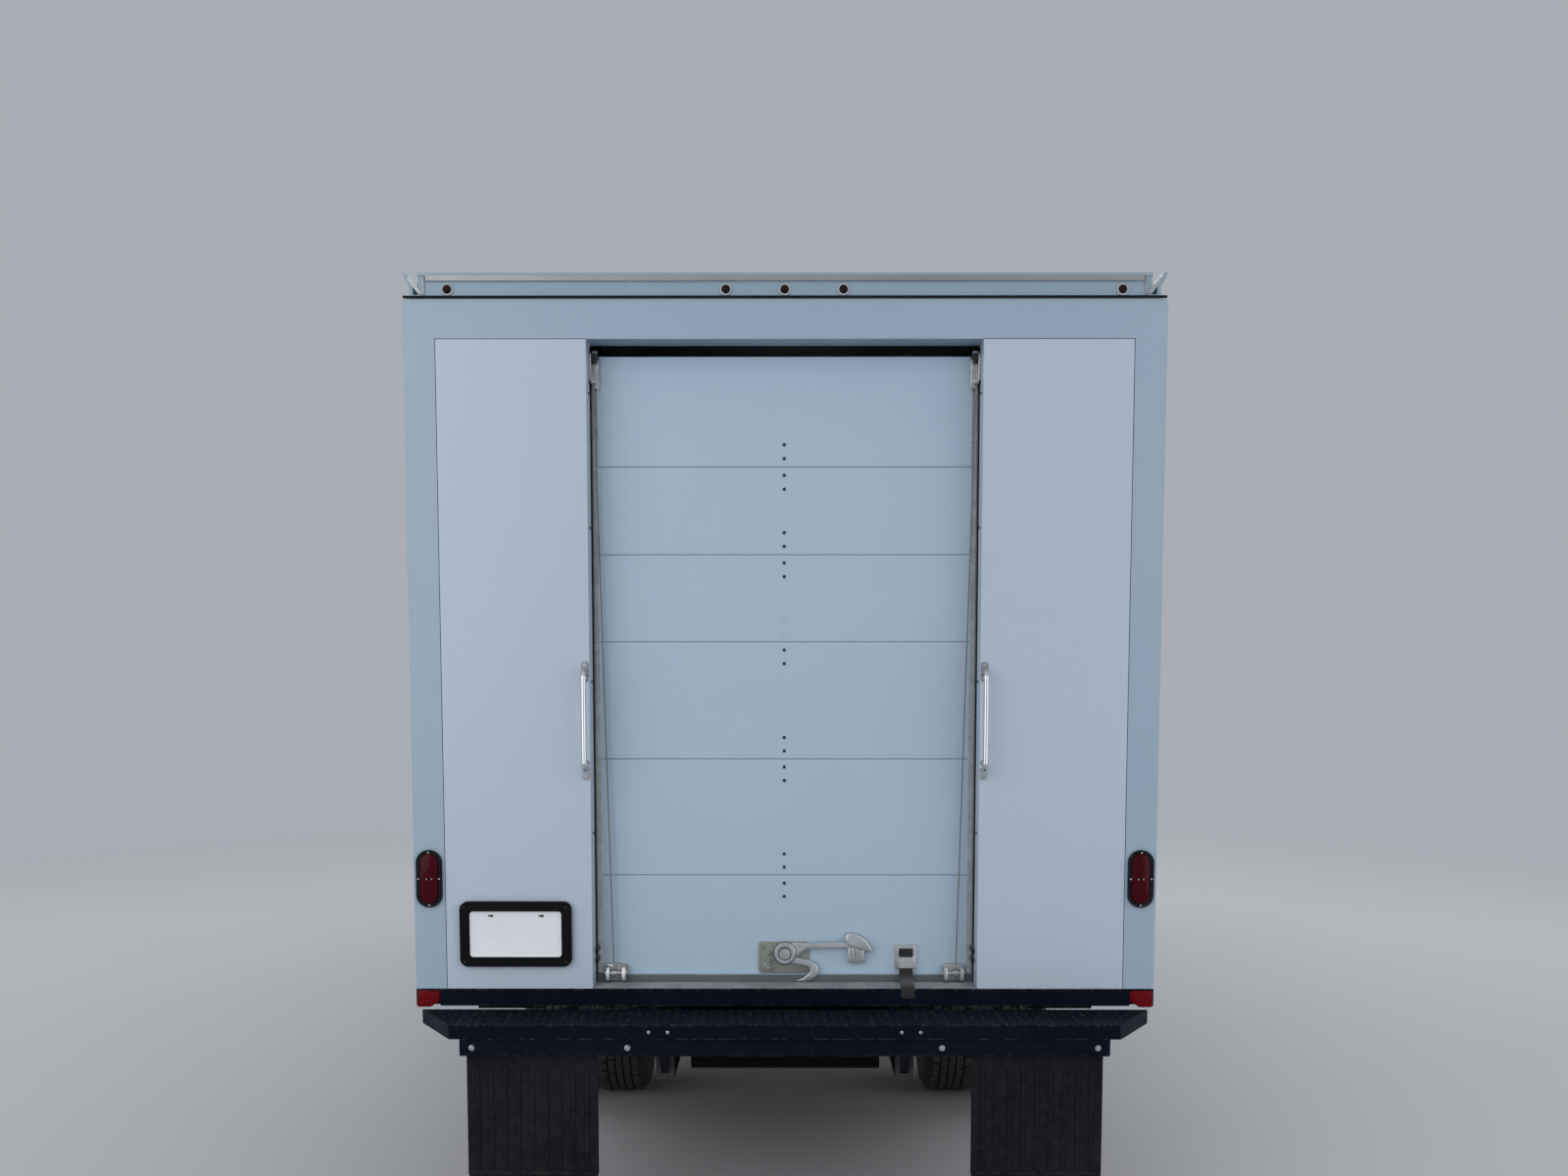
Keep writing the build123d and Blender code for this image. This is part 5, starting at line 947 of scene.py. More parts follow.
# What is bolted to the wheels: nuts on a circle, then small bolts on the hub and the valve
wheels = {
    "nuts": 8, "nutCircle": 0.0825,
    "nut": ((0.0155, 0.003, 16, 0.013), (0.0115, 0.015, 6, None), (0.0085, 0.006, 12, 0.006)),
    "Front": {"axle": van["frontAxle"], "tyres": (0.866,), "name": "FrontTyre", "body": "front_{}_wheel",
              "node": "front_{}_tyre", "nutX": 1.0111, "bolts": (6, 1.0571, 0.03, 0.004),
              "valve": (0.95, 0.188, -0.25, 0.034)},
    "Rear": {"axle": van["rearAxle"], "tyres": (0.715, 1.005), "name": "RearTyres", "body": "rear_{}_wheels",
             "node": "rear_{}_tyres", "nutX": 0.8711, "bolts": (8, 0.904, 0.048, 0.0045),
             "valve": (0.935, 0.17, 0.1, 0.05), "hub": ((0.0612, 0.0), (0.0608, 0.034), (0.057, 0.04),
                                                        (0.04, 0.044), (0.038, 0.06), (0.034, 0.066),
                     (0.0, 0.067))},
}


def makeWheel(side, way, end):
    spec = wheels[end]
    bm, nuts = newShapes(2)
    y, body, outward = spec["axle"], spec["body"].format(side), across * way
    for x in spec["tyres"]:
        addTyre(bm, way * x, y)
    finishPiece(bm, side + spec["name"], "tyreRubber", [spec["node"].format(side)], body)
    for number in range(wheels["nuts"]):
        turn = math.tau * (number + 0.5) / wheels["nuts"]
        addStack(nuts, ringPoint((way * spec["nutX"], y, axleZ), wheels["nutCircle"], turn, "yz"), outward,
                 *wheels["nut"])
    if "hub" in spec:
        addSpin(nuts, [(r, a * way) for r, a in spec["hub"]], (way * 0.862, y, axleZ), across, upward, 32)
    count, boltX, circle, size = spec["bolts"]
    for number in range(count):
        addBolt(nuts, ringPoint((way * boltX, y, axleZ), circle, math.tau * number / count, "yz"), outward,
                size)
    valveX, step, lean, length = spec["valve"]
    addDisc(nuts, (way * valveX, y + step, axleZ), (way, lean, 0), 0.004, length, 10, 0.003)
    finishPiece(nuts, side + end + "Nuts", "boltSteel", body=body)


for side, way in sides:
    for end in ("Front", "Rear"):
        makeWheel(side, way, end)
print("wheels done")

# Strips laid on a CAD node's skin: each point is found by a ray from outside
skinTrees = {}


def skinPoint(nodeName, start, direction):
    if nodeName not in skinTrees:
        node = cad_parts[nodeName]
        points = [node.matrix_world @ vertex.co for vertex in node.data.vertices]
        skinTrees[nodeName] = BVHTree.FromPolygons(points, [face.vertices[:] for face in node.data.polygons])
    return skinTrees[nodeName].ray_cast(Vector(start), Vector(direction).normalized())[:2]


def addSkinStrip(bm, nodeNames, starts, direction, width, height, closed=False, sink=0.0005):
    # A low band of rectangular section that follows the skin under the starting points
    hits = []
    for start in starts:
        found = [hit for hit in (skinPoint(name, start, direction) for name in nodeNames.split())
                 if hit[0] is not None]
        if found:
            hits.append(min(found, key=lambda hit: (hit[0] - Vector(start)).length))
    rings = []
    for number, (place, normal) in enumerate(hits):
        before = hits[number - 1][0] if number or closed else place
        after = hits[(number + 1) % len(hits)][0] if number + 1 < len(hits) or closed else place
        along = (after - before).normalized()
        side = normal.cross(along).normalized() * width / 2
        low, high = place - normal * sink, place + normal * height
        rings.append([bm.verts.new(point) for point in (low - side, high - side * 0.7, high + side * 0.7,
                                                        low + side)])
    joinRings(bm, rings, closed)


def lineOf(first, last, count):
    first, last = Vector(first), Vector(last)
    return [first.lerp(last, number / (count - 1)) for number in range(count)]


def loopOf(x, z, countX, countZ):
    # Points ahead of the nose round a rectangle
    corners = [(x[0], 4, z[0]), (x[1], 4, z[0]), (x[1], 4, z[1]), (x[0], 4, z[1])]
    points = []
    for number, (first, second) in enumerate(zip(corners, corners[1:] + corners[:1])):
        points += lineOf(first, second, countZ if number % 2 else countX)[:-1]
    return points


# Box sides: rivet rows, seam strips, rub rails, clearance lamps and the filler cap
boxSides = {
    "rows": (0.8, 3.062), "rowPitch": 0.1016, "seams": (-2.18, -1.45, -0.72, 0.01), "seamPitch": 0.1524,
    "seamRivets": 13, "rubRail": (0.842, 0.884), "railRivets": 18, "railPitch": 0.197, "sideLamps": (-2.8, 0.6),
    "fillerY": -1.95, "cup": ((0.07, 0.0), (0.07, 0.009), (0.062, 0.011), (0.058, 0.005), (0.045, 0.004),
                              (0.044, 0.016), (0.038, 0.018),
            (0.0, 0.018)),
    "roofSeams": 8, "roofPitch": 0.44,
}


def makeBoxSides(spec):
    rivets, rails, lamps, filler, strips, roof = newShapes(6)
    x, start, end, (low, high) = van["halfBox"], rear + 0.13, van["boxFront"], spec["rubRail"]
    for z in spec["rows"]:
        for number in range(int((end - 0.1 - start) / spec["rowPitch"]) + 1):
            addRivet(rivets, (x, start + number * spec["rowPitch"], z), across, 0.0055, 0.0028, 8)
    for y in spec["seams"]:
        addBar(strips, (x - 0.0004, x + 0.0016), around(y, 0.026), (0.9, 3.05), 0.0007, 1)
        for number in range(spec["seamRivets"]):
            for rivetY in around(y, 0.016):
                addRivet(rivets, (x + 0.0016, rivetY, 0.94 + number * spec["seamPitch"]), across, 0.0045,
                         0.0022, 8)
    addBar(rails, (x - 0.0004, x + 0.012), (rear + 0.102, end - 0.085), (low, high), 0.003)
    for z in (low + 0.011, high - 0.011):
        addBar(rails, (x + 0.01, x + 0.0145), (rear + 0.104, end - 0.087), around(z, 0.003), 0.001, 1)
    for number in range(spec["railRivets"]):
        y = start + 0.03 + number * spec["railPitch"]
        addRivet(rivets, (x + 0.012, y, (low + high) / 2), across, 0.005, 0.0025, 8)
    for y in spec["sideLamps"]:
        addBar(lamps, (x - 0.0004, x + 0.016), around(y, 0.05), (0.925, 0.96), 0.006, 3)
        addBar(filler, (x - 0.0004, x + 0.005), around(y, 0.056), (0.919, 0.966), 0.002)
    mirrorAll(filler)
    addSpin(filler, spec["cup"], (-x, spec["fillerY"], 0.985), -across, upward, 36)
    addBar(filler, (-x - 0.026, -x - 0.014), around(spec["fillerY"], 0.034), (0.979, 0.991), 0.004)
    for number in range(spec["roofSeams"]):
        y = rear + 0.36 + number * spec["roofPitch"]
        addSkinStrip(roof, "box_roof", lineOf((-1.1, y, 3.3), (1.1, y, 3.3), 13), -upward, 0.03, 0.0025)
    finishPiece(rivets, "boxRivets", "boxWhiteShaded", mirror=True)
    finishPiece(strips, "boxSeamStrips", "boxWhiteShaded", mirror=True)
    finishPiece(rails, "rubRails", "railSide", mirror=True)
    finishPiece(lamps, "sideLamps", "cornerRed", mirror=True)
    finishPiece(filler, "fillerAndLampBases", "mouldedBlack")
    finishPiece(roof, "roofSeams", "boxWhiteShaded")


makeBoxSides(boxSides)
print("box sides done")

# Grille: a mesh, bars that follow the nose, and a frame
grille = {
    "x": (-0.519, 0.519), "z": (0.701, 0.984), "meshX": 52, "meshZ": 14, "bars": 7, "height": 0.012,
    "inset": 0.01, "depth": 0.028, "uprights": (-0.1733, 0.1733), "outside": 0.016,
}


def makeGrille(spec):
    mesh, bars, rim = newShapes(3)
    x, z, back = spec["x"], spec["z"], ahead(0.69)
    for number in range(spec["meshX"] + 1):
        middle = x[0] + number * (x[1] - x[0]) / spec["meshX"]
        addBar(mesh, around(middle, 0.0012), (back, back + 0.006), z)
    for number in range(spec["meshZ"] + 1):
        middle = z[0] + number * (z[1] - z[0]) / spec["meshZ"]
        addBar(mesh, x, (back + 0.001, back + 0.005), around(middle, 0.0012))
    starts = lineOf((x[0], 4, z[0] - 0.012), (x[1], 4, z[0] - 0.012), 25)
    skin = [skinPoint("nose_panel", start, backward)[0] for start in starts]
    for number in range(spec["bars"]):
        low = z[0] + (z[1] - z[0]) / (spec["bars"] + 1) * (number + 1) - spec["height"] / 2
        front = [(place.x, place.y - spec["inset"], low) for place in skin]
        behind = [(px, py - spec["depth"], pz) for px, py, pz in reversed(front)]
        addOutline(bars, front + behind, upward * spec["height"], 0.0015, 1)
    for middle in spec["uprights"]:
        y = skinPoint("nose_panel", (middle, 4, z[0] - 0.012), backward)[0].y - spec["inset"]
        addBar(bars, around(middle, 0.006), (y - spec["depth"], y - 0.003), z, 0.001)
    out = spec["outside"]
    loop = loopOf((x[0] - out, x[1] + out), (z[0] - out, z[1] + out), 25, 9)
    addSkinStrip(rim, "nose_panel", loop, backward, 0.024, 0.009, closed=True)
    finishPiece(mesh, "grilleMesh", "mouldedBlack")
    finishPiece(bars, "grilleBars", "grilleGrey")
    finishPiece(rim, "grilleFrame", "mouldedBlack")


makeGrille(grille)

# Headlamps: a lens over two bowls with bulbs in a dark tub, and a bezel
# A bowl's profile is (share of radius, depth)
headlamp = {
    "x": (0.5605, 0.8795), "z": (0.7455, 0.9545), "safeX": (0.562, 0.878), "safeZ": (0.7465, 0.9535),
    "columns": 15, "rows": 9, "bowls": ((0.642, 0.07), (0.79, 0.064)), "middleZ": 0.85,
    "dish": ((1.0, 0.0), (1.06, 0.001), (1.06, -0.003), (0.9, -0.02), (0.65, -0.036), (0.35, -0.045),
             (0.0, -0.048), (0.0, -0.046), (0.35, -0.042), (0.65, -0.033), (0.88, -0.016), (1.0, 0.0)),
    "socket": 0.012, "bulb": ((0.0, 0.016), (0.006, 0.014), (0.009, 0.006), (0.009, -0.03), (0.0, -0.03)),
    "bezelX": (0.553, 0.887), "bezelZ": (0.738, 0.962),
}


def within(value, span):
    return min(max(value, span[0]), span[1])


def makeHeadlamp(side, way, spec):
    lens, bowl, bulb, tub = newShapes(4)
    x, z, middle = spec["x"], spec["z"], spec["middleZ"]
    grid = []
    for row in range(spec["rows"]):
        height = z[0] + (z[1] - z[0]) * row / (spec["rows"] - 1)
        line = []
        for column in range(spec["columns"]):
            reach = x[0] + (x[1] - x[0]) * column / (spec["columns"] - 1)
            aim = (way * within(reach, spec["safeX"]), 4, within(height, spec["safeZ"]))
            line.append(lens.verts.new((way * reach, skinPoint("headlamps", aim, backward)[0].y, height)))
        grid.append(line)
    addGrid(lens, grid)
    if way < 0:
        bmesh.ops.reverse_faces(lens, faces=lens.faces[:])
    extruded(lens, lens.faces[:], backward * 0.005)
    for lampX, radius in spec["bowls"]:
        front = skinPoint("headlamps", (way * lampX, 4, middle), backward)[0].y - 0.03
        dish = [(radius * share or spec["socket"], along) for share, along in spec["dish"]]
        addSpin(bowl, dish, (way * lampX, front, middle), forward, across, 32)
        addSpin(bulb, spec["bulb"], (way * lampX, front - 0.016, middle), forward, across, 16)
    near = skinPoint("headlamps", (way * 0.872, 4, middle), backward)[0].y
    addBar(tub, (way * x[0], way * x[1]), (near - 0.052, near - 0.046), z, 0.002)
    for part, name, finish in (
        (lens, "LampLens", "lampClear"), (bowl, "LampBowls", "mirrorFace"), (bulb, "LampBulbs", "plateWhite"),
        (tub, "LampTub", "mouldedBlack"),
    ):
        finishPiece(part, side + name, finish, ["headlamps"])


bezel = bmesh.new()
for side, way in sides:
    makeHeadlamp(side, way, headlamp)
    loop = loopOf([way * x for x in headlamp["bezelX"]], headlamp["bezelZ"], 13, 9)
    addSkinStrip(bezel, "nose_panel", loop, backward, 0.012, 0.005, closed=True)
finishPiece(bezel, "lampBezels", "mouldedBlack")
print("nose done")

# Windshield wipers (pivot, angle, reach), the seal and the cowl vent, set in the plane of the glass
screen = {
    "base": (ahead(-0.3), 1.29), "top": (ahead(-0.88), 2.03), "wipers": ((-0.62, 8, 0.52), (0.06, 6, 0.56)),
    "sealSide": ((0.884, 0.03, 0.1), (0.75, 0.912, 0.1)),
    "sealTop": ((-0.745, 0.916, 0.1), (0.745, 0.916, 0.1)),
    "ventY": -0.232, "ventPitch": 0.011, "ventRows": 5,
}


def makeScreen(spec):
    wipers, seal, vent = newShapes(3)
    up = Vector((0, spec["top"][0] - spec["base"][0], spec["top"][1] - spec["base"][1])).normalized()
    place = Matrix((across, up, across.cross(up))).transposed().to_4x4()
    place.translation = Vector((0, *spec["base"]))
    inward = place.to_3x3() @ -upward
    for pivotX, angle, reach in spec["wipers"]:
        part = bmesh.new()
        addDisc(part, (0, 0, -0.004), upward, 0.014, 0.02, 16)
        addBar(part, (-0.01, reach * 0.62), (-0.01, 0.01), (0.01, 0.018), 0.003)
        addBar(part, (reach * 0.1, reach + 0.09), (-0.004, 0.004), (0.004, 0.016), 0.002)
        addBar(part, (reach * 0.1, reach + 0.09), (-0.0015, 0.0015), (-0.0115, 0.006), 0.0005)
        for share in (0.2, 0.5, 0.8):
            addBar(part, around(reach * share, 0.02), (-0.006, 0.006), (0.006, 0.019), 0.002)
        turn = Matrix.Rotation(math.radians(angle), 4, "Z")
        bmesh.ops.transform(part, matrix=place @ Matrix.Translation((pivotX, 0.075, 0.001)) @ turn,
                            verts=part.verts)
        pour(part, wipers)
    for way in (-1, 1):
        line = lineOf(*((way * x, y, z) for x, y, z in spec["sealSide"]), 15)
        addSkinStrip(seal, "cab_sides cab_roof windshield cowl", [place @ point for point in line], inward,
                     0.016, 0.002)
    line = lineOf(*spec["sealTop"], 25)
    addSkinStrip(seal, "cab_roof windshield", [place @ point for point in line], inward, 0.016, 0.002)
    for row in range(spec["ventRows"]):
        y = ahead(spec["ventY"] - row * spec["ventPitch"])
        addSkinStrip(vent, "cowl", lineOf((-0.7, y, 1.5), (0.7, y, 1.5), 29), -upward, 0.006, 0.003)
    finishPiece(wipers, "wipers", "mouldedBlack")
    finishPiece(seal, "screenSeal", "flapRubber")
    finishPiece(vent, "cowlVent", "mouldedBlack")


makeScreen(screen)

# Doors: mirror faces with their trim, belt strips, side mouldings, locks; and the lips of the front arches
doors = {
    "mirrorX": (1.134, 1.286), "mirrorZ": (1.292, 1.562), "spotZ": (1.226, 1.28),
    "mirrorY": ahead(-0.565) - 0.0452, "trimZ": (1.2185, 1.57), "trimOut": 0.008, "trimWidth": 0.006,
    "trimAim": 1.394, "strips": (("BeltStrip", "flapRubber", 1.29, (-1.3, -0.64), 19, 0.014, 0.004),
               ("DoorGuard", "mouldedBlack", 0.8, (-1.36, -0.475), 21, 0.046, 0.007)),
    "lock": (ahead(-1.33), 1.06), "archRadius": 0.452, "archSteps": 40,
}


def makeDoor(side, way, spec):
    body, node = side + "_door", side + "_door"
    faces, trim, cylinder = newShapes(3)
    xs, y = sorted(way * x for x in spec["mirrorX"]), spec["mirrorY"]
    for z, radius in ((spec["mirrorZ"], 0.018), (spec["spotZ"], 0.012)):
        addOutline(faces, cornerPoints(xs, z, y, radius), backward * 0.0022, 0.0008)
    finishPiece(faces, side + "MirrorFaces", "mirrorFace", body=body)
    outer = (xs[0] - spec["trimOut"], xs[1] + spec["trimOut"])
    ring = cornerPoints(outer, spec["trimZ"], y - 0.0004, 0.022)
    middle = Vector(((xs[0] + xs[1]) / 2, y - 0.0004, spec["trimAim"]))
    for first, second in zip(ring, ring[1:] + ring[:1]):
        if (second - first).length > 1e-5:
            inner = [point + (middle - point).normalized() * spec["trimWidth"] for point in (second, first)]
            addOutline(trim, [first, second, *inner], backward * 0.0035)
    finishPiece(trim, side + "MirrorTrim", "mouldedBlack", body=body)
    for name, finish, z, (start, end), count, width, height in spec["strips"]:
        strip = bmesh.new()
        line = lineOf((way * 1.5, ahead(start), z), (way * 1.5, ahead(end), z), count)
        addSkinStrip(strip, node, line, across * -way, width, height)
        finishPiece(strip, side + name, finish, body=body)
    hit, normal = skinPoint(node, (way * 1.5, *spec["lock"]), across * -way)
    addStack(cylinder, hit - normal * 0.0005, normal, (0.013, 0.003, 24, 0.012), (0.0085, 0.0012, 20, 0.008))
    finishPiece(cylinder, side + "DoorLock", "boltSteel", body=body)


lips = bmesh.new()
for side, way in sides:
    makeDoor(side, way, doors)
    turns = [math.radians(4 + 172 * number / doors["archSteps"]) for number in range(doors["archSteps"] + 1)]
    arch = [ringPoint((way * 1.5, van["frontAxle"], axleZ), doors["archRadius"], turn, "yz") for turn in turns]
    addSkinStrip(lips, "front_fenders nose_panel", arch, across * -way, 0.02, 0.006)
finishPiece(lips, "archLips", "mouldedBlack")
print("cab outside done")


# Seats: pads swollen by the cloth simulation, with channels sewn in afterwards
# The left seat mirrors the right one
seat = {
    "voxel": 0.008, "cap": 0.022, "pressure": 4.0, "frames": 20, "inset": 0.01, "weltShare": 0.78,
    "weltSteps": 40, "pads": {
        "Cushion": {"box": ((0.31, 0.9135, 0.79), (0.78, 1.3735, 0.92)), "bevel": 0.036,
                    "channels": (0.465, 0.625), "along": 1,
                    "outline": ((0.924, 0.796), (1.364, 0.796), (1.366, 0.903), (0.928, 0.907))},
        "Back": {"box": ((0.31, 0.815, 0.9203), (0.78, 1.032, 1.56)), "bevel": 0.034, "channels": (0.44, 0.65),
                 "along": 2, "outline": ((0.842, 0.928), (1.024, 0.928), (0.932, 1.552), (0.862, 1.552))},
        "Rest": {"box": ((0.415, 0.829, 1.57), (0.675, 0.928, 1.75)), "bevel": 0.026, "channels": (),
                 "along": 2, "outline": ((0.85, 1.576), (0.921, 1.576), (0.912, 1.744), (0.838, 1.744))},
    },
    "stalks": ((0.495, 0.893, 1.535), (0.595, 0.893, 1.535)),
}


def applied(pad):
    # The modifiers so far are made part of the mesh; returns its points
    shown = pad.evaluated_get(bpy.context.evaluated_depsgraph_get())
    mesh = bpy.data.meshes.new_from_object(shown)
    pad.modifiers.clear()
    pad.data = mesh
    return [vertex.co.copy() for vertex in mesh.vertices]


def swellPad(name, spec, x):
    bm = bmesh.new()
    addOutline(bm, [(x[0], y, z) for y, z in spec["outline"]], (x[1] - x[0], 0, 0), spec["bevel"], 4)
    bmesh.ops.recalc_face_normals(bm, faces=bm.faces)
    pad = bpy.data.objects.new(name, toMesh(bm, name))
    bpy.context.scene.collection.objects.link(pad)
    remesh = pad.modifiers.new("voxels", "REMESH")
    remesh.mode = "VOXEL"
    remesh.voxel_size = seat["voxel"]
    start = applied(pad)
    cloth = pad.modifiers.new("swell", "CLOTH")
    cloth.settings.use_pressure = True
    cloth.settings.uniform_pressure_force = seat["pressure"]
    cloth.settings.effector_weights.gravity = 0
    cloth.point_cache.frame_start = 1
    cloth.point_cache.frame_end = seat["frames"]
    for number in range(1, seat["frames"] + 1):
        bpy.context.scene.frame_set(number)
    swollen = applied(pad)
    bpy.context.scene.frame_set(1)
    flat = []
    for before, after in zip(start, swollen):
        step = after - before
        flat.extend(before + step * min(1.0, seat["cap"] / max(step.length, 1e-6)))
    pad.data.vertices.foreach_set("co", flat)
    smooth = pad.modifiers.new("smooth", "SUBSURF")
    smooth.levels = smooth.render_levels = 1
    applied(pad)
    return pad


def sewPad(pad, spec):
    low, high = (Vector(corner) for corner in spec["box"])
    vertices = pad.data.vertices
    normals = [vertex.normal.copy() for vertex in vertices]
    flat = []
    for vertex, normal in zip(vertices, normals):
        place = vertex.co.copy()
        if (normal.z if spec["along"] == 1 else normal.y) > 0.3:
            depth = sum(math.exp(-((place.x - x) / 0.006) ** 2) for x in spec["channels"])
            place -= normal * min(depth, 1.0) * 0.009
        flat.extend(within(place[axis], (low[axis], high[axis])) for axis in range(3))
    vertices.foreach_set("co", flat)


def addTube(bm, points, radius, count=8, closed=True):
    rings, side = [], None
    for number, place in enumerate(points):
        along = (points[(number + 1) % len(points)] - points[number - 1]).normalized()
        side = (side - along * side.dot(along) if side else along.orthogonal()).normalized()
        other = along.cross(side)
        turns = [math.tau * k / count for k in range(count)]
        rings.append([bm.verts.new(place + (side * math.cos(turn) + other * math.sin(turn)) * radius)
                      for turn in turns])
    joinRings(bm, rings, closed)


def addWelt(bm, pad, spec, x):
    # A welt round the pad a share of the way from its back or underside to its face
    tree = BVHTree.FromPolygons([vertex.co for vertex in pad.data.vertices],
                                [face.vertices[:] for face in pad.data.polygons])
    a, b, c, d = (Vector((0, *point)) for point in spec["outline"])
    share = seat["weltShare"]
    near, far = ((a.lerp(d, share), b.lerp(c, share)) if spec["along"] == 1
                 else (a.lerp(b, share), d.lerp(c, share)))
    corners = [Vector((x[0], *near.yz)), Vector((x[1], *near.yz)), Vector((x[1], *far.yz)),
               Vector((x[0], *far.yz))]
    middle = sum(corners, Vector()) / 4
    points = []
    for first, second in zip(corners, corners[1:] + corners[:1]):
        for number in range(seat["weltSteps"]):
            aim = first.lerp(second, number / seat["weltSteps"])
            place = tree.ray_cast(middle + (aim - middle) * 1.6, middle - aim)[0]
            if place:
                points.append(place)
    for _ in range(2):
        points = [(points[k - 1] + points[k] * 2 + points[(k + 1) % len(points)]) / 4
                  for k in range(len(points))]
    addTube(bm, points, 0.0035)


def makeSeats():
    welts, stalks = newShapes(2)
    for key, spec in seat["pads"].items():
        x = (spec["box"][0][0] + seat["inset"], spec["box"][1][0] - seat["inset"])
        pad = swellPad(key, spec, x)
        sewPad(pad, spec)
        addWelt(welts, pad, spec, x)
        for side, way in reversed(sides):
            bm = bmesh.new()
            bm.from_mesh(pad.data)
            bmesh.ops.scale(bm, vec=(way, 1, 1), verts=bm.verts)
            piece = finishPiece(bm, f"{side}Seat{key}", "seatVinyl", ["seat_pads"], angle=80)
        bpy.data.objects.remove(pad)
    for place in seat["stalks"]:
        addDisc(stalks, place, (0, -0.1, 1), 0.006, 0.06, 12)
    finishPiece(welts, "seatWelts", "flapRubber", mirror=True)
    finishPiece(stalks, "headrestStalks", "boltSteel", mirror=True)


makeSeats()
print("seats done")

# Belts from the guide at the post down to the reel
belts = {"y": 0.812, "z": (0.56, 1.7), "steps": 12, "half": 0.0235, "off": 0.014, "thickness": 0.0014}


def makeBelt(side, way, metal, spec):
    y, rows = spec["y"], []
    for number in range(spec["steps"] + 1):
        z = spec["z"][0] + (spec["z"][1] - spec["z"][0]) * number / spec["steps"]
        rows.append((way * (abs(skinPoint("cab_sides", (way * 0.4, y, z), across * way)[0].x) - spec["off"]),
                     z))
    own = bmesh.new()
    addGrid(own, [[own.verts.new((x, edge, z)) for edge in around(y, spec["half"])] for x, z in rows])
    piece = finishPiece(own, f"{side}Belt", "strapWebbing")
    piece.modifiers.new("thick", "SOLIDIFY").thickness = spec["thickness"]
    length = sum(math.dist(p, q) for p, q in zip(rows, rows[1:]))
    for (x, z), inner, half, under, over, bevel in (
        (rows[-1], 0.008, 0.034, 0.022, 0.014, 0.004), (rows[0], 0.045, 0.04, 0.08, 0.006, 0.006),
    ):
        addBar(metal, (x - way * inner, x + way * 0.01), around(y, half), (z - under, z + over), bevel)


guides = bmesh.new()
for side, way in sides:
    makeBelt(side, way, guides, belts)
finishPiece(guides, "beltGuides", "mouldedBlack")

# Dashboard: instrument hood with dials (x, radius), panel with radio and knobs, air outlets, glove box
dash = {
    "face": ahead(-0.65),
    "hood": ((-0.56, 1.176), (-0.59, 1.268), (-0.645, 1.262), (-0.66, 1.235), (-0.6, 1.232), (-0.612, 1.17)),
    "dials": ((-0.63, 0.048), (-0.46, 0.048), (-0.545, 0.026)), "ticks": 9, "tickTurn": 30,
    "knobs": ((-0.08, 0.015, 1.064, 0.01, 0.014, 20, 0.0085), (0.08, 0.015, 1.064, 0.01, 0.014, 20, 0.0085),
              (-0.075, 0.011, 0.975, 0.019, 0.016, 24, 0.016), (0.0, 0.011, 0.975, 0.019, 0.016, 24, 0.016),
              (0.075, 0.011, 0.975, 0.019, 0.016, 24, 0.016)),
    "buttons": 6, "outlets": (-0.845, -0.25, 0.25, 0.845), "slats": 4,
}


def makeDash(spec):
    dark, dials, pale, knobs = newShapes(4)
    face = spec["face"]
    addOutline(dark, [(-0.74, ahead(y), z) for y, z in spec["hood"]], across * 0.39, 0.006, 2)
    out = Vector((0, -1, 0.12)).normalized()
    for x, radius in spec["dials"]:
        centre = Vector((x, ahead(-0.614), 1.202))
        addDisc(dials, centre, out, radius * 0.6, 0.003, 32, radius * 0.58)
        for number in range(spec["ticks"]):
            turn = math.radians(210 - number * spec["tickTurn"])
            addDisc(pale, ringPoint(centre + out * 0.0032, radius * 0.48, turn), out, 0.0013, 0.0008, 6)
        addBlock(pale, centre + Vector((-0.001, -0.0052, -0.002)),
                 centre + Vector((0.001, -0.0042, radius * 0.42)))
    addBar(dark, (-0.15, 0.15), (face - 0.012, face + 0.002), (0.93, 1.1), 0.005)
    addBar(dials, (-0.095, 0.095), (face - 0.016, face - 0.01), (1.04, 1.088), 0.003)
    for x, off, z, radius, depth, count, top in spec["knobs"]:
        addDisc(knobs, (x, face - off, z), backward, radius, depth, count, top)
    for number in range(spec["buttons"]):
        x = number * 0.018
        addBar(pale, (x - 0.052, x - 0.04), (face - 0.0172, face - 0.0155), (1.048, 1.056), 0.0008, 1)
    for x in spec["outlets"]:
        addBar(dark, around(x, 0.04), (ahead(-0.641), ahead(-0.626)), (1.112, 1.158), 0.003)
        for number in range(spec["slats"]):
            z = 1.119 + number * 0.01
            addBar(dials, around(x, 0.036), (ahead(-0.645), ahead(-0.64)), (z, z + 0.0025))
    addBar(dark, (0.33, 0.76), (ahead(-0.632), ahead(-0.616)), (0.94, 1.07), 0.006)
    addBar(knobs, (0.52, 0.57), (ahead(-0.64), ahead(-0.628)), (1.045, 1.06), 0.003)
    finishPiece(dark, "dashPanels", "mouldedBlack")
    finishPiece(dials, "dashDials", "flapRubber")
    finishPiece(pale, "dashMarks", "plateWhite")
    finishPiece(knobs, "dashKnobs", "cabLining")


makeDash(dash)

# Hub of the steering wheel with its two stalks, pedals (x, half width), sun visors and the mirror
controls = {
    "hub": (-0.545, ahead(-0.78), 1.185), "lean": 32, "stalks": ((-1, 0.03), (1, 0.01)),
    "pedals": ((-0.61, 0.045), (-0.48, 0.032)), "ribs": 4, "ribPitch": 0.013, "visorX": (0.16, 0.64),
    "visor": ((-0.905, 2.02), (-0.918, 2.012), (-0.846, 1.88), (-0.834, 1.886)),
}


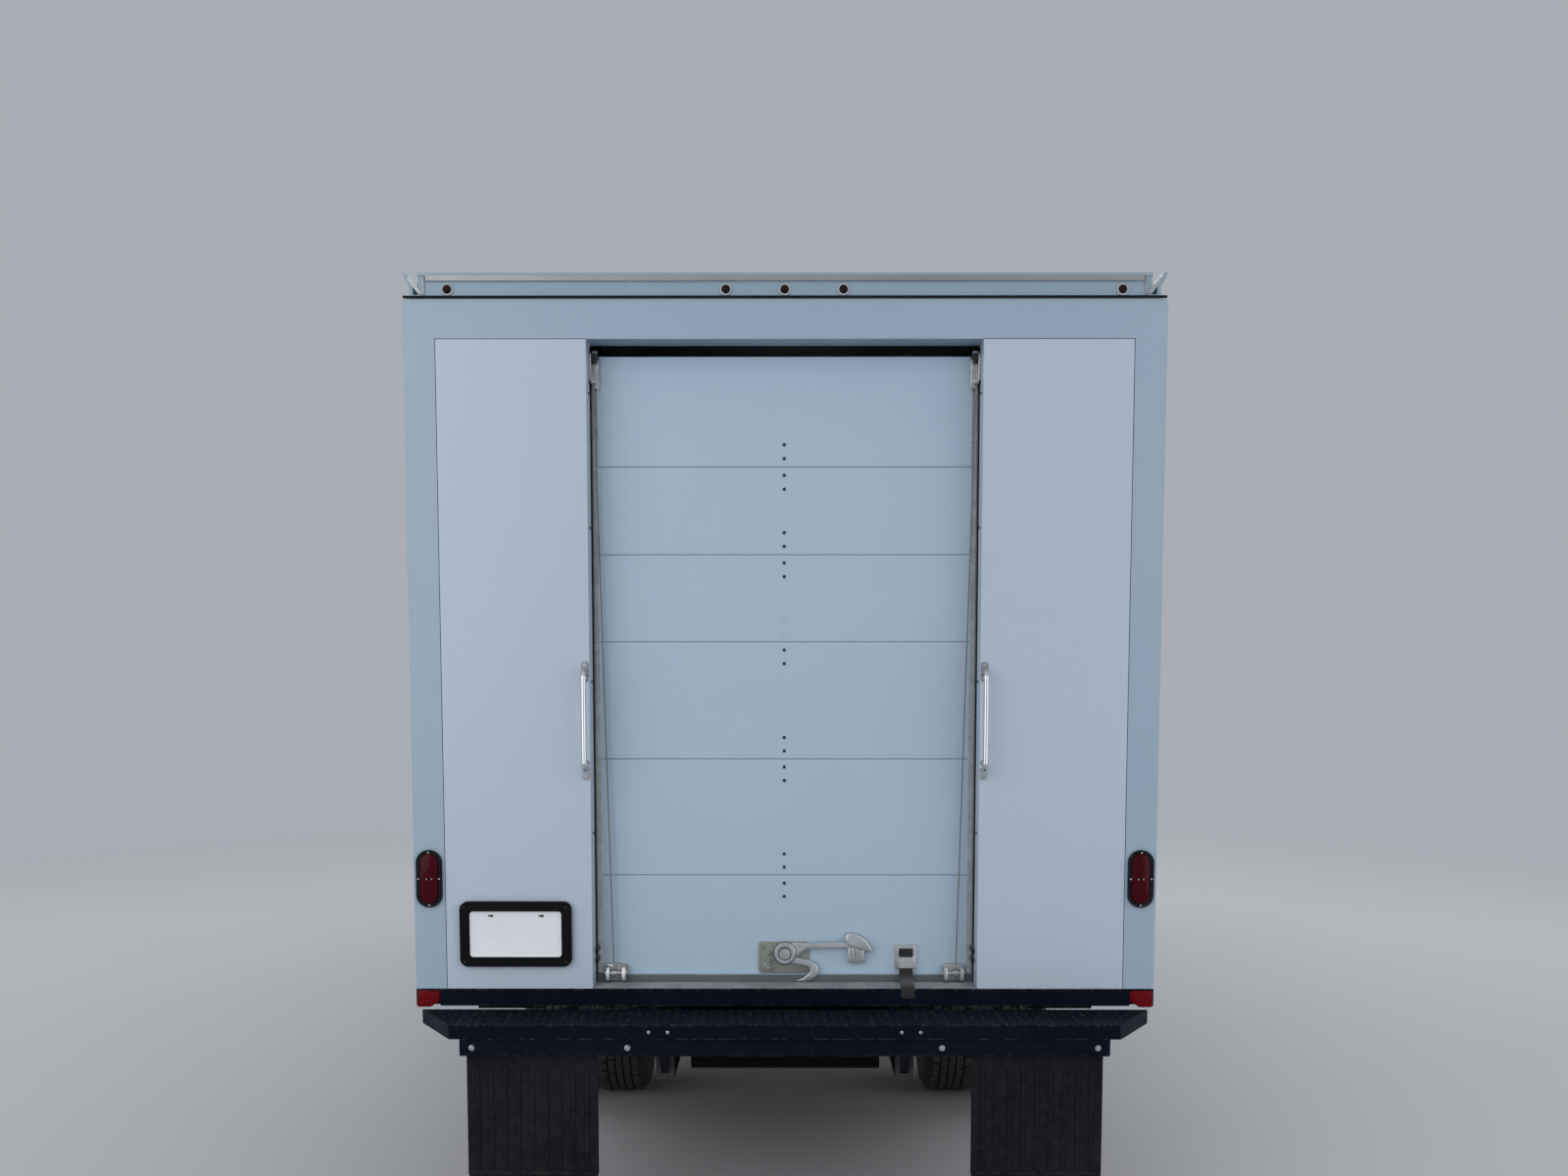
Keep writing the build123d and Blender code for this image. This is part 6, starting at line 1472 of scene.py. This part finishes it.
def makeControls(spec):
    dark, steel, visors, mirror, back = newShapes(5)
    hub, lean = Vector(spec["hub"]), math.radians(spec["lean"])
    axis = Vector((0, -math.cos(lean), math.sin(lean)))
    addDisc(dark, hub + axis * 0.016, axis, 0.05, 0.012, 32, 0.042)
    for way, tip in spec["stalks"]:
        start = hub - axis * 0.07 + across * way * 0.03
        addTube(dark, [start, start + across * way * 0.05, start + across * way * 0.11 + axis * tip], 0.006, 10,
                closed=False)
    for x, half in spec["pedals"]:
        addBar(dark, around(x, half), (ahead(-0.478), ahead(-0.462)), (0.56, 0.622), 0.006)
        addBar(steel, around(x, 0.008), (ahead(-0.468), ahead(-0.452)), (0.6, 0.8), 0.003)
    for number in range(spec["ribs"]):
        z = 0.57 + number * spec["ribPitch"]
        addBar(dark, (-0.655, -0.565), (ahead(-0.481), ahead(-0.477)), (z, z + 0.005), 0.0015, 1)
    for start, end in (spec["visorX"], [-x for x in reversed(spec["visorX"])]):
        addOutline(visors, [(start, ahead(y), z) for y, z in spec["visor"]], across * (end - start), 0.004, 2)
    addBar(back, (-0.12, 0.12), (ahead(-0.875), ahead(-0.858)), (1.85, 1.91), 0.006)
    addDisc(back, (0, ahead(-0.862), 1.9), (0, 0.42, 0.9), 0.006, 0.075, 12)
    addBar(mirror, (-0.115, 0.115), (ahead(-0.8765), ahead(-0.8745)), (1.855, 1.905), 0.0008, 1)
    finishPiece(dark, "cabControls", "mouldedBlack")
    finishPiece(steel, "pedalArms", "boltSteel")
    finishPiece(visors, "sunVisors", "cabLining")
    finishPiece(back, "cabMirrorBack", "mouldedBlack")
    finishPiece(mirror, "cabMirrorFace", "mirrorFace")


makeControls(controls)
print("cab inside done")

# Rear cap: a grey top strip, darkened as painted shade of the lip's underside; a dark line beneath, a sealant
# joint with painted shadow along it; and the struts in the open ends of the rails, with black backs as painted
# shade inside them
capTrim = {
    "face": -2.9085, "half": 1.142, "top": (3.1195, 3.1375), "lineHalf": 1.214, "line": (3.0665, 3.0745),
    "strut": ((1.152, 3.082), (1.166, 3.082), (1.203, 3.128), (1.19, 3.131)),
}


def makeCapTrim(spec):
    trim, line, struts, shadeBacks = newShapes(4)
    y, half, lineHalf = spec["face"], spec["half"], spec["lineHalf"]
    # Grey strip at the top of the cap, darkened as painted shade of the lip's underside
    addBar(trim, (-half, half), (y - 0.002, y + 0.003), spec["top"], 0.0012, 1)
    # Dark line under the cap: the sealant joint, with painted shadow along it
    addBar(line, (-lineHalf, lineHalf), (y - 0.0006, y + 0.004), spec["line"])
    addOutline(struts, [(x, y + 0.002, z) for x, z in spec["strut"]], forward * 0.03, 0.0015, 1)
    addBar(struts, (1.146, 1.151), (y - 0.001, y + 0.03), (3.078, 3.134), 0.001, 1)
    # Black backs inside the open rail ends: painted shade in the hollows
    addBar(shadeBacks, (1.15, 1.214), (-2.802, -2.798), (3.083, 3.133))
    finishPiece(trim, "capTopShadeStrip", "railMetalShaded")
    finishPiece(line, "capJointShadowLine", "flapRubber")
    finishPiece(struts, "railEndStruts", "railSide", mirror=True)
    finishPiece(shadeBacks, "railEndShadeBacks", "mouldedBlack", mirror=True)


makeCapTrim(capTrim)

# Joint lines of the rear panels against the posts and header, and black plates set back in the slot over the
# step as painted shade
rearJoints = {"x": 1.116, "foot": 0.839, "half": 0.0008,
              "plate": ((0.8, 1.018), (-2.889, -2.883), (0.7679, 0.7801))}


def makeRearJoints(spec):
    joints, slotShadePlates = newShapes(2)
    x, top, half, deep = spec["x"], van["openingTop"], spec["half"], (rear - 0.0005, rear + 0.0004)
    addBar(joints, around(x, half), deep, (spec["foot"], top))
    addBar(joints, (van["halfOpening"] + 0.001, x + half), deep, around(top, half))
    # Black plates in the slot over the step: painted shade
    addBar(slotShadePlates, *spec["plate"], 0.0005, 1)
    finishPiece(joints, "panelJoints", "mouldedBlack", mirror=True)
    finishPiece(slotShadePlates, "stepSlotShadePlates", "mouldedBlack", mirror=True)


makeRearJoints(rearJoints)

# Chassis: bolts along the rails, and a loom clipped to the left rail
chassisDetails = {
    "boltY": (-2.6, -2.18, -1.6, -0.95, -0.35, 0.25, 0.85), "boltZ": (0.62, 0.68),
    "loomStart": -2.45, "loomPitch": 0.094, "loomSteps": 33, "loomZ": 0.655, "sag": 0.004,
}


def railPoint(way, y, z):
    # A point on the flat web of a frame rail, or nothing where the ray meets something else
    place, normal = skinPoint("ladder_frame", (way * 1.1, y, z), across * -way)
    return (place, normal) if place and abs(normal.x) > 0.9 else None


def makeChassisDetails(spec):
    bolts, loom = newShapes(2)
    for way in (-1, 1):
        for hit in (railPoint(way, y, z) for y in spec["boltY"] for z in spec["boltZ"]):
            if hit:
                addBolt(bolts, hit[0] - hit[1] * 0.0005, hit[1], 0.009)
    points = []
    for number in range(spec["loomSteps"]):
        y = spec["loomStart"] + number * spec["loomPitch"]
        hit = railPoint(-1, y, spec["loomZ"])
        if hit:
            points.append(Vector((hit[0].x - 0.011, y, spec["loomZ"] + spec["sag"] * math.sin(number * 1.3))))
    addTube(loom, points, 0.01, 10, closed=False)
    finishPiece(bolts, "frameBolts", "darkBolt")
    finishPiece(loom, "wiringLoom", "mouldedBlack")


makeChassisDetails(chassisDetails)
print("chassis details done")


# Floor, light and camera; a lamp is (name, place, size, power)
studio = {
    "floorColor": (0.46, 0.475, 0.5), "floorSecond": (0.42, 0.435, 0.46), "wallColor": (0.4, 0.42, 0.455),
    "fade": (3.2, 11.0), "floorRadius": 60.0,
    "lensPixels": 1400.0, "imageWidth": 1600.0, "camera": (0.0108, -7.37, 1.907), "pitch": 4.53, "yaw": 0.13,
    "shift": 0.118, "shiftX": -0.0006, "aim": (0, 0, 1.4),
    "lamps": (
        ("keyLamp", (-5.5, -8.5, 3.6), 8.0, 240.0), ("fillLamp", (6.5, -7.0, 2.6), 8.0, 172.0),
        ("sideLampLeft", (-8.0, 2.0, 6.0), 8.0, 210.0), ("sideLampRight", (8.0, 2.0, 6.0), 8.0, 210.0),
        ("frontLamp", (2.0, 10.0, 6.0), 8.0, 230.0), ("topLamp", (0.0, 0.0, 9.0), 9.0, 80.0),
    ),
}


def makeFloor():
    bm = bmesh.new()
    bmesh.ops.create_circle(bm, cap_ends=True, radius=studio["floorRadius"], segments=96)
    mesh = toMesh(bm, "studioFloor")
    floor = bpy.data.objects.new("studioFloor", mesh)
    bpy.context.scene.collection.objects.link(floor)
    material, tree, shader = startMaterial("floorPaint")
    place, black, wall = objectPlace(tree), (0, 0, 0, 1), (*studio["wallColor"], 1)
    mottle = addNoise(tree, place, 0.35, 3.0)
    tone = addMix(tree, mottle, (*studio["floorColor"], 1), (*studio["floorSecond"], 1))
    # Far from the van the floor takes on the tone of the wall
    reach = addNode(tree, "VectorMath", {0: place}, operation="LENGTH")
    far = addRange(tree, reach, *studio["fade"], interpolation_type="SMOOTHSTEP")
    feed(tree, shader, {
        "Base Color": addMix(tree, far, tone, black), "Emission Color": addMix(tree, far, black, wall),
        "Emission Strength": 1.0, "Specular IOR Level": 0.0, "Roughness": 0.6,
    })
    mesh.materials.append(material)


def makeWorld():
    # A soft sky for light and reflections; the camera sees a plain wall
    world = bpy.data.worlds.new("studioWorld")
    bpy.context.scene.world = world
    world.use_nodes = True
    tree = world.node_tree
    tree.nodes.clear()
    height = addNode(tree, "SeparateXYZ", {0: addNode(tree, "TexCoord", take="Generated")}, take="Z")
    ramp = addNode(tree, "ValToRGB", {"Fac": height})
    for element, place, color in zip(ramp.node.color_ramp.elements, (0.0, 0.6),
                                     ((0.42, 0.44, 0.47, 1), (1.0, 1.0, 1.0, 1))):
        element.position, element.color = place, color
    soft = addNode(tree, "Background", {"Color": ramp, "Strength": 0.6})
    shown = addNode(tree, "Background", {"Color": (*studio["wallColor"], 1), "Strength": 1.0})
    rays = addNode(tree, "LightPath").node.outputs
    either = addMath(tree, "MAXIMUM", (rays["Is Camera Ray"], rays["Is Transmission Ray"]))
    feed(tree, tree.nodes.new("ShaderNodeOutputWorld"),
         {"Surface": addNode(tree, "MixShader", {0: either, 1: soft, 2: shown})})


def makeLamp(name, place, size, power):
    data = bpy.data.lights.new(name, "AREA")
    data.shape = "DISK"
    data.size = size
    data.energy = power
    lamp = bpy.data.objects.new(name, data)
    bpy.context.scene.collection.objects.link(lamp)
    lamp.location = place
    lamp.rotation_euler = (Vector(studio["aim"]) - Vector(place)).to_track_quat("-Z", "Y").to_euler()


def makeCamera():
    data = bpy.data.cameras.new("rearCamera")
    data.sensor_width = 36.0
    data.lens = data.sensor_width * studio["lensPixels"] / studio["imageWidth"]
    data.shift_x = studio["shiftX"]
    data.shift_y = studio["shift"]
    data.clip_end = 200.0
    camera = bpy.data.objects.new("rearCamera", data)
    bpy.context.scene.collection.objects.link(camera)
    camera.location = studio["camera"]
    camera.rotation_euler = (math.radians(90 - studio["pitch"]), 0, math.radians(studio["yaw"]))
    bpy.context.scene.camera = camera


makeFloor()
makeWorld()
for values in studio["lamps"]:
    makeLamp(*values)
makeCamera()
bpy.context.scene.view_settings.view_transform = "Standard"
print("studio done")
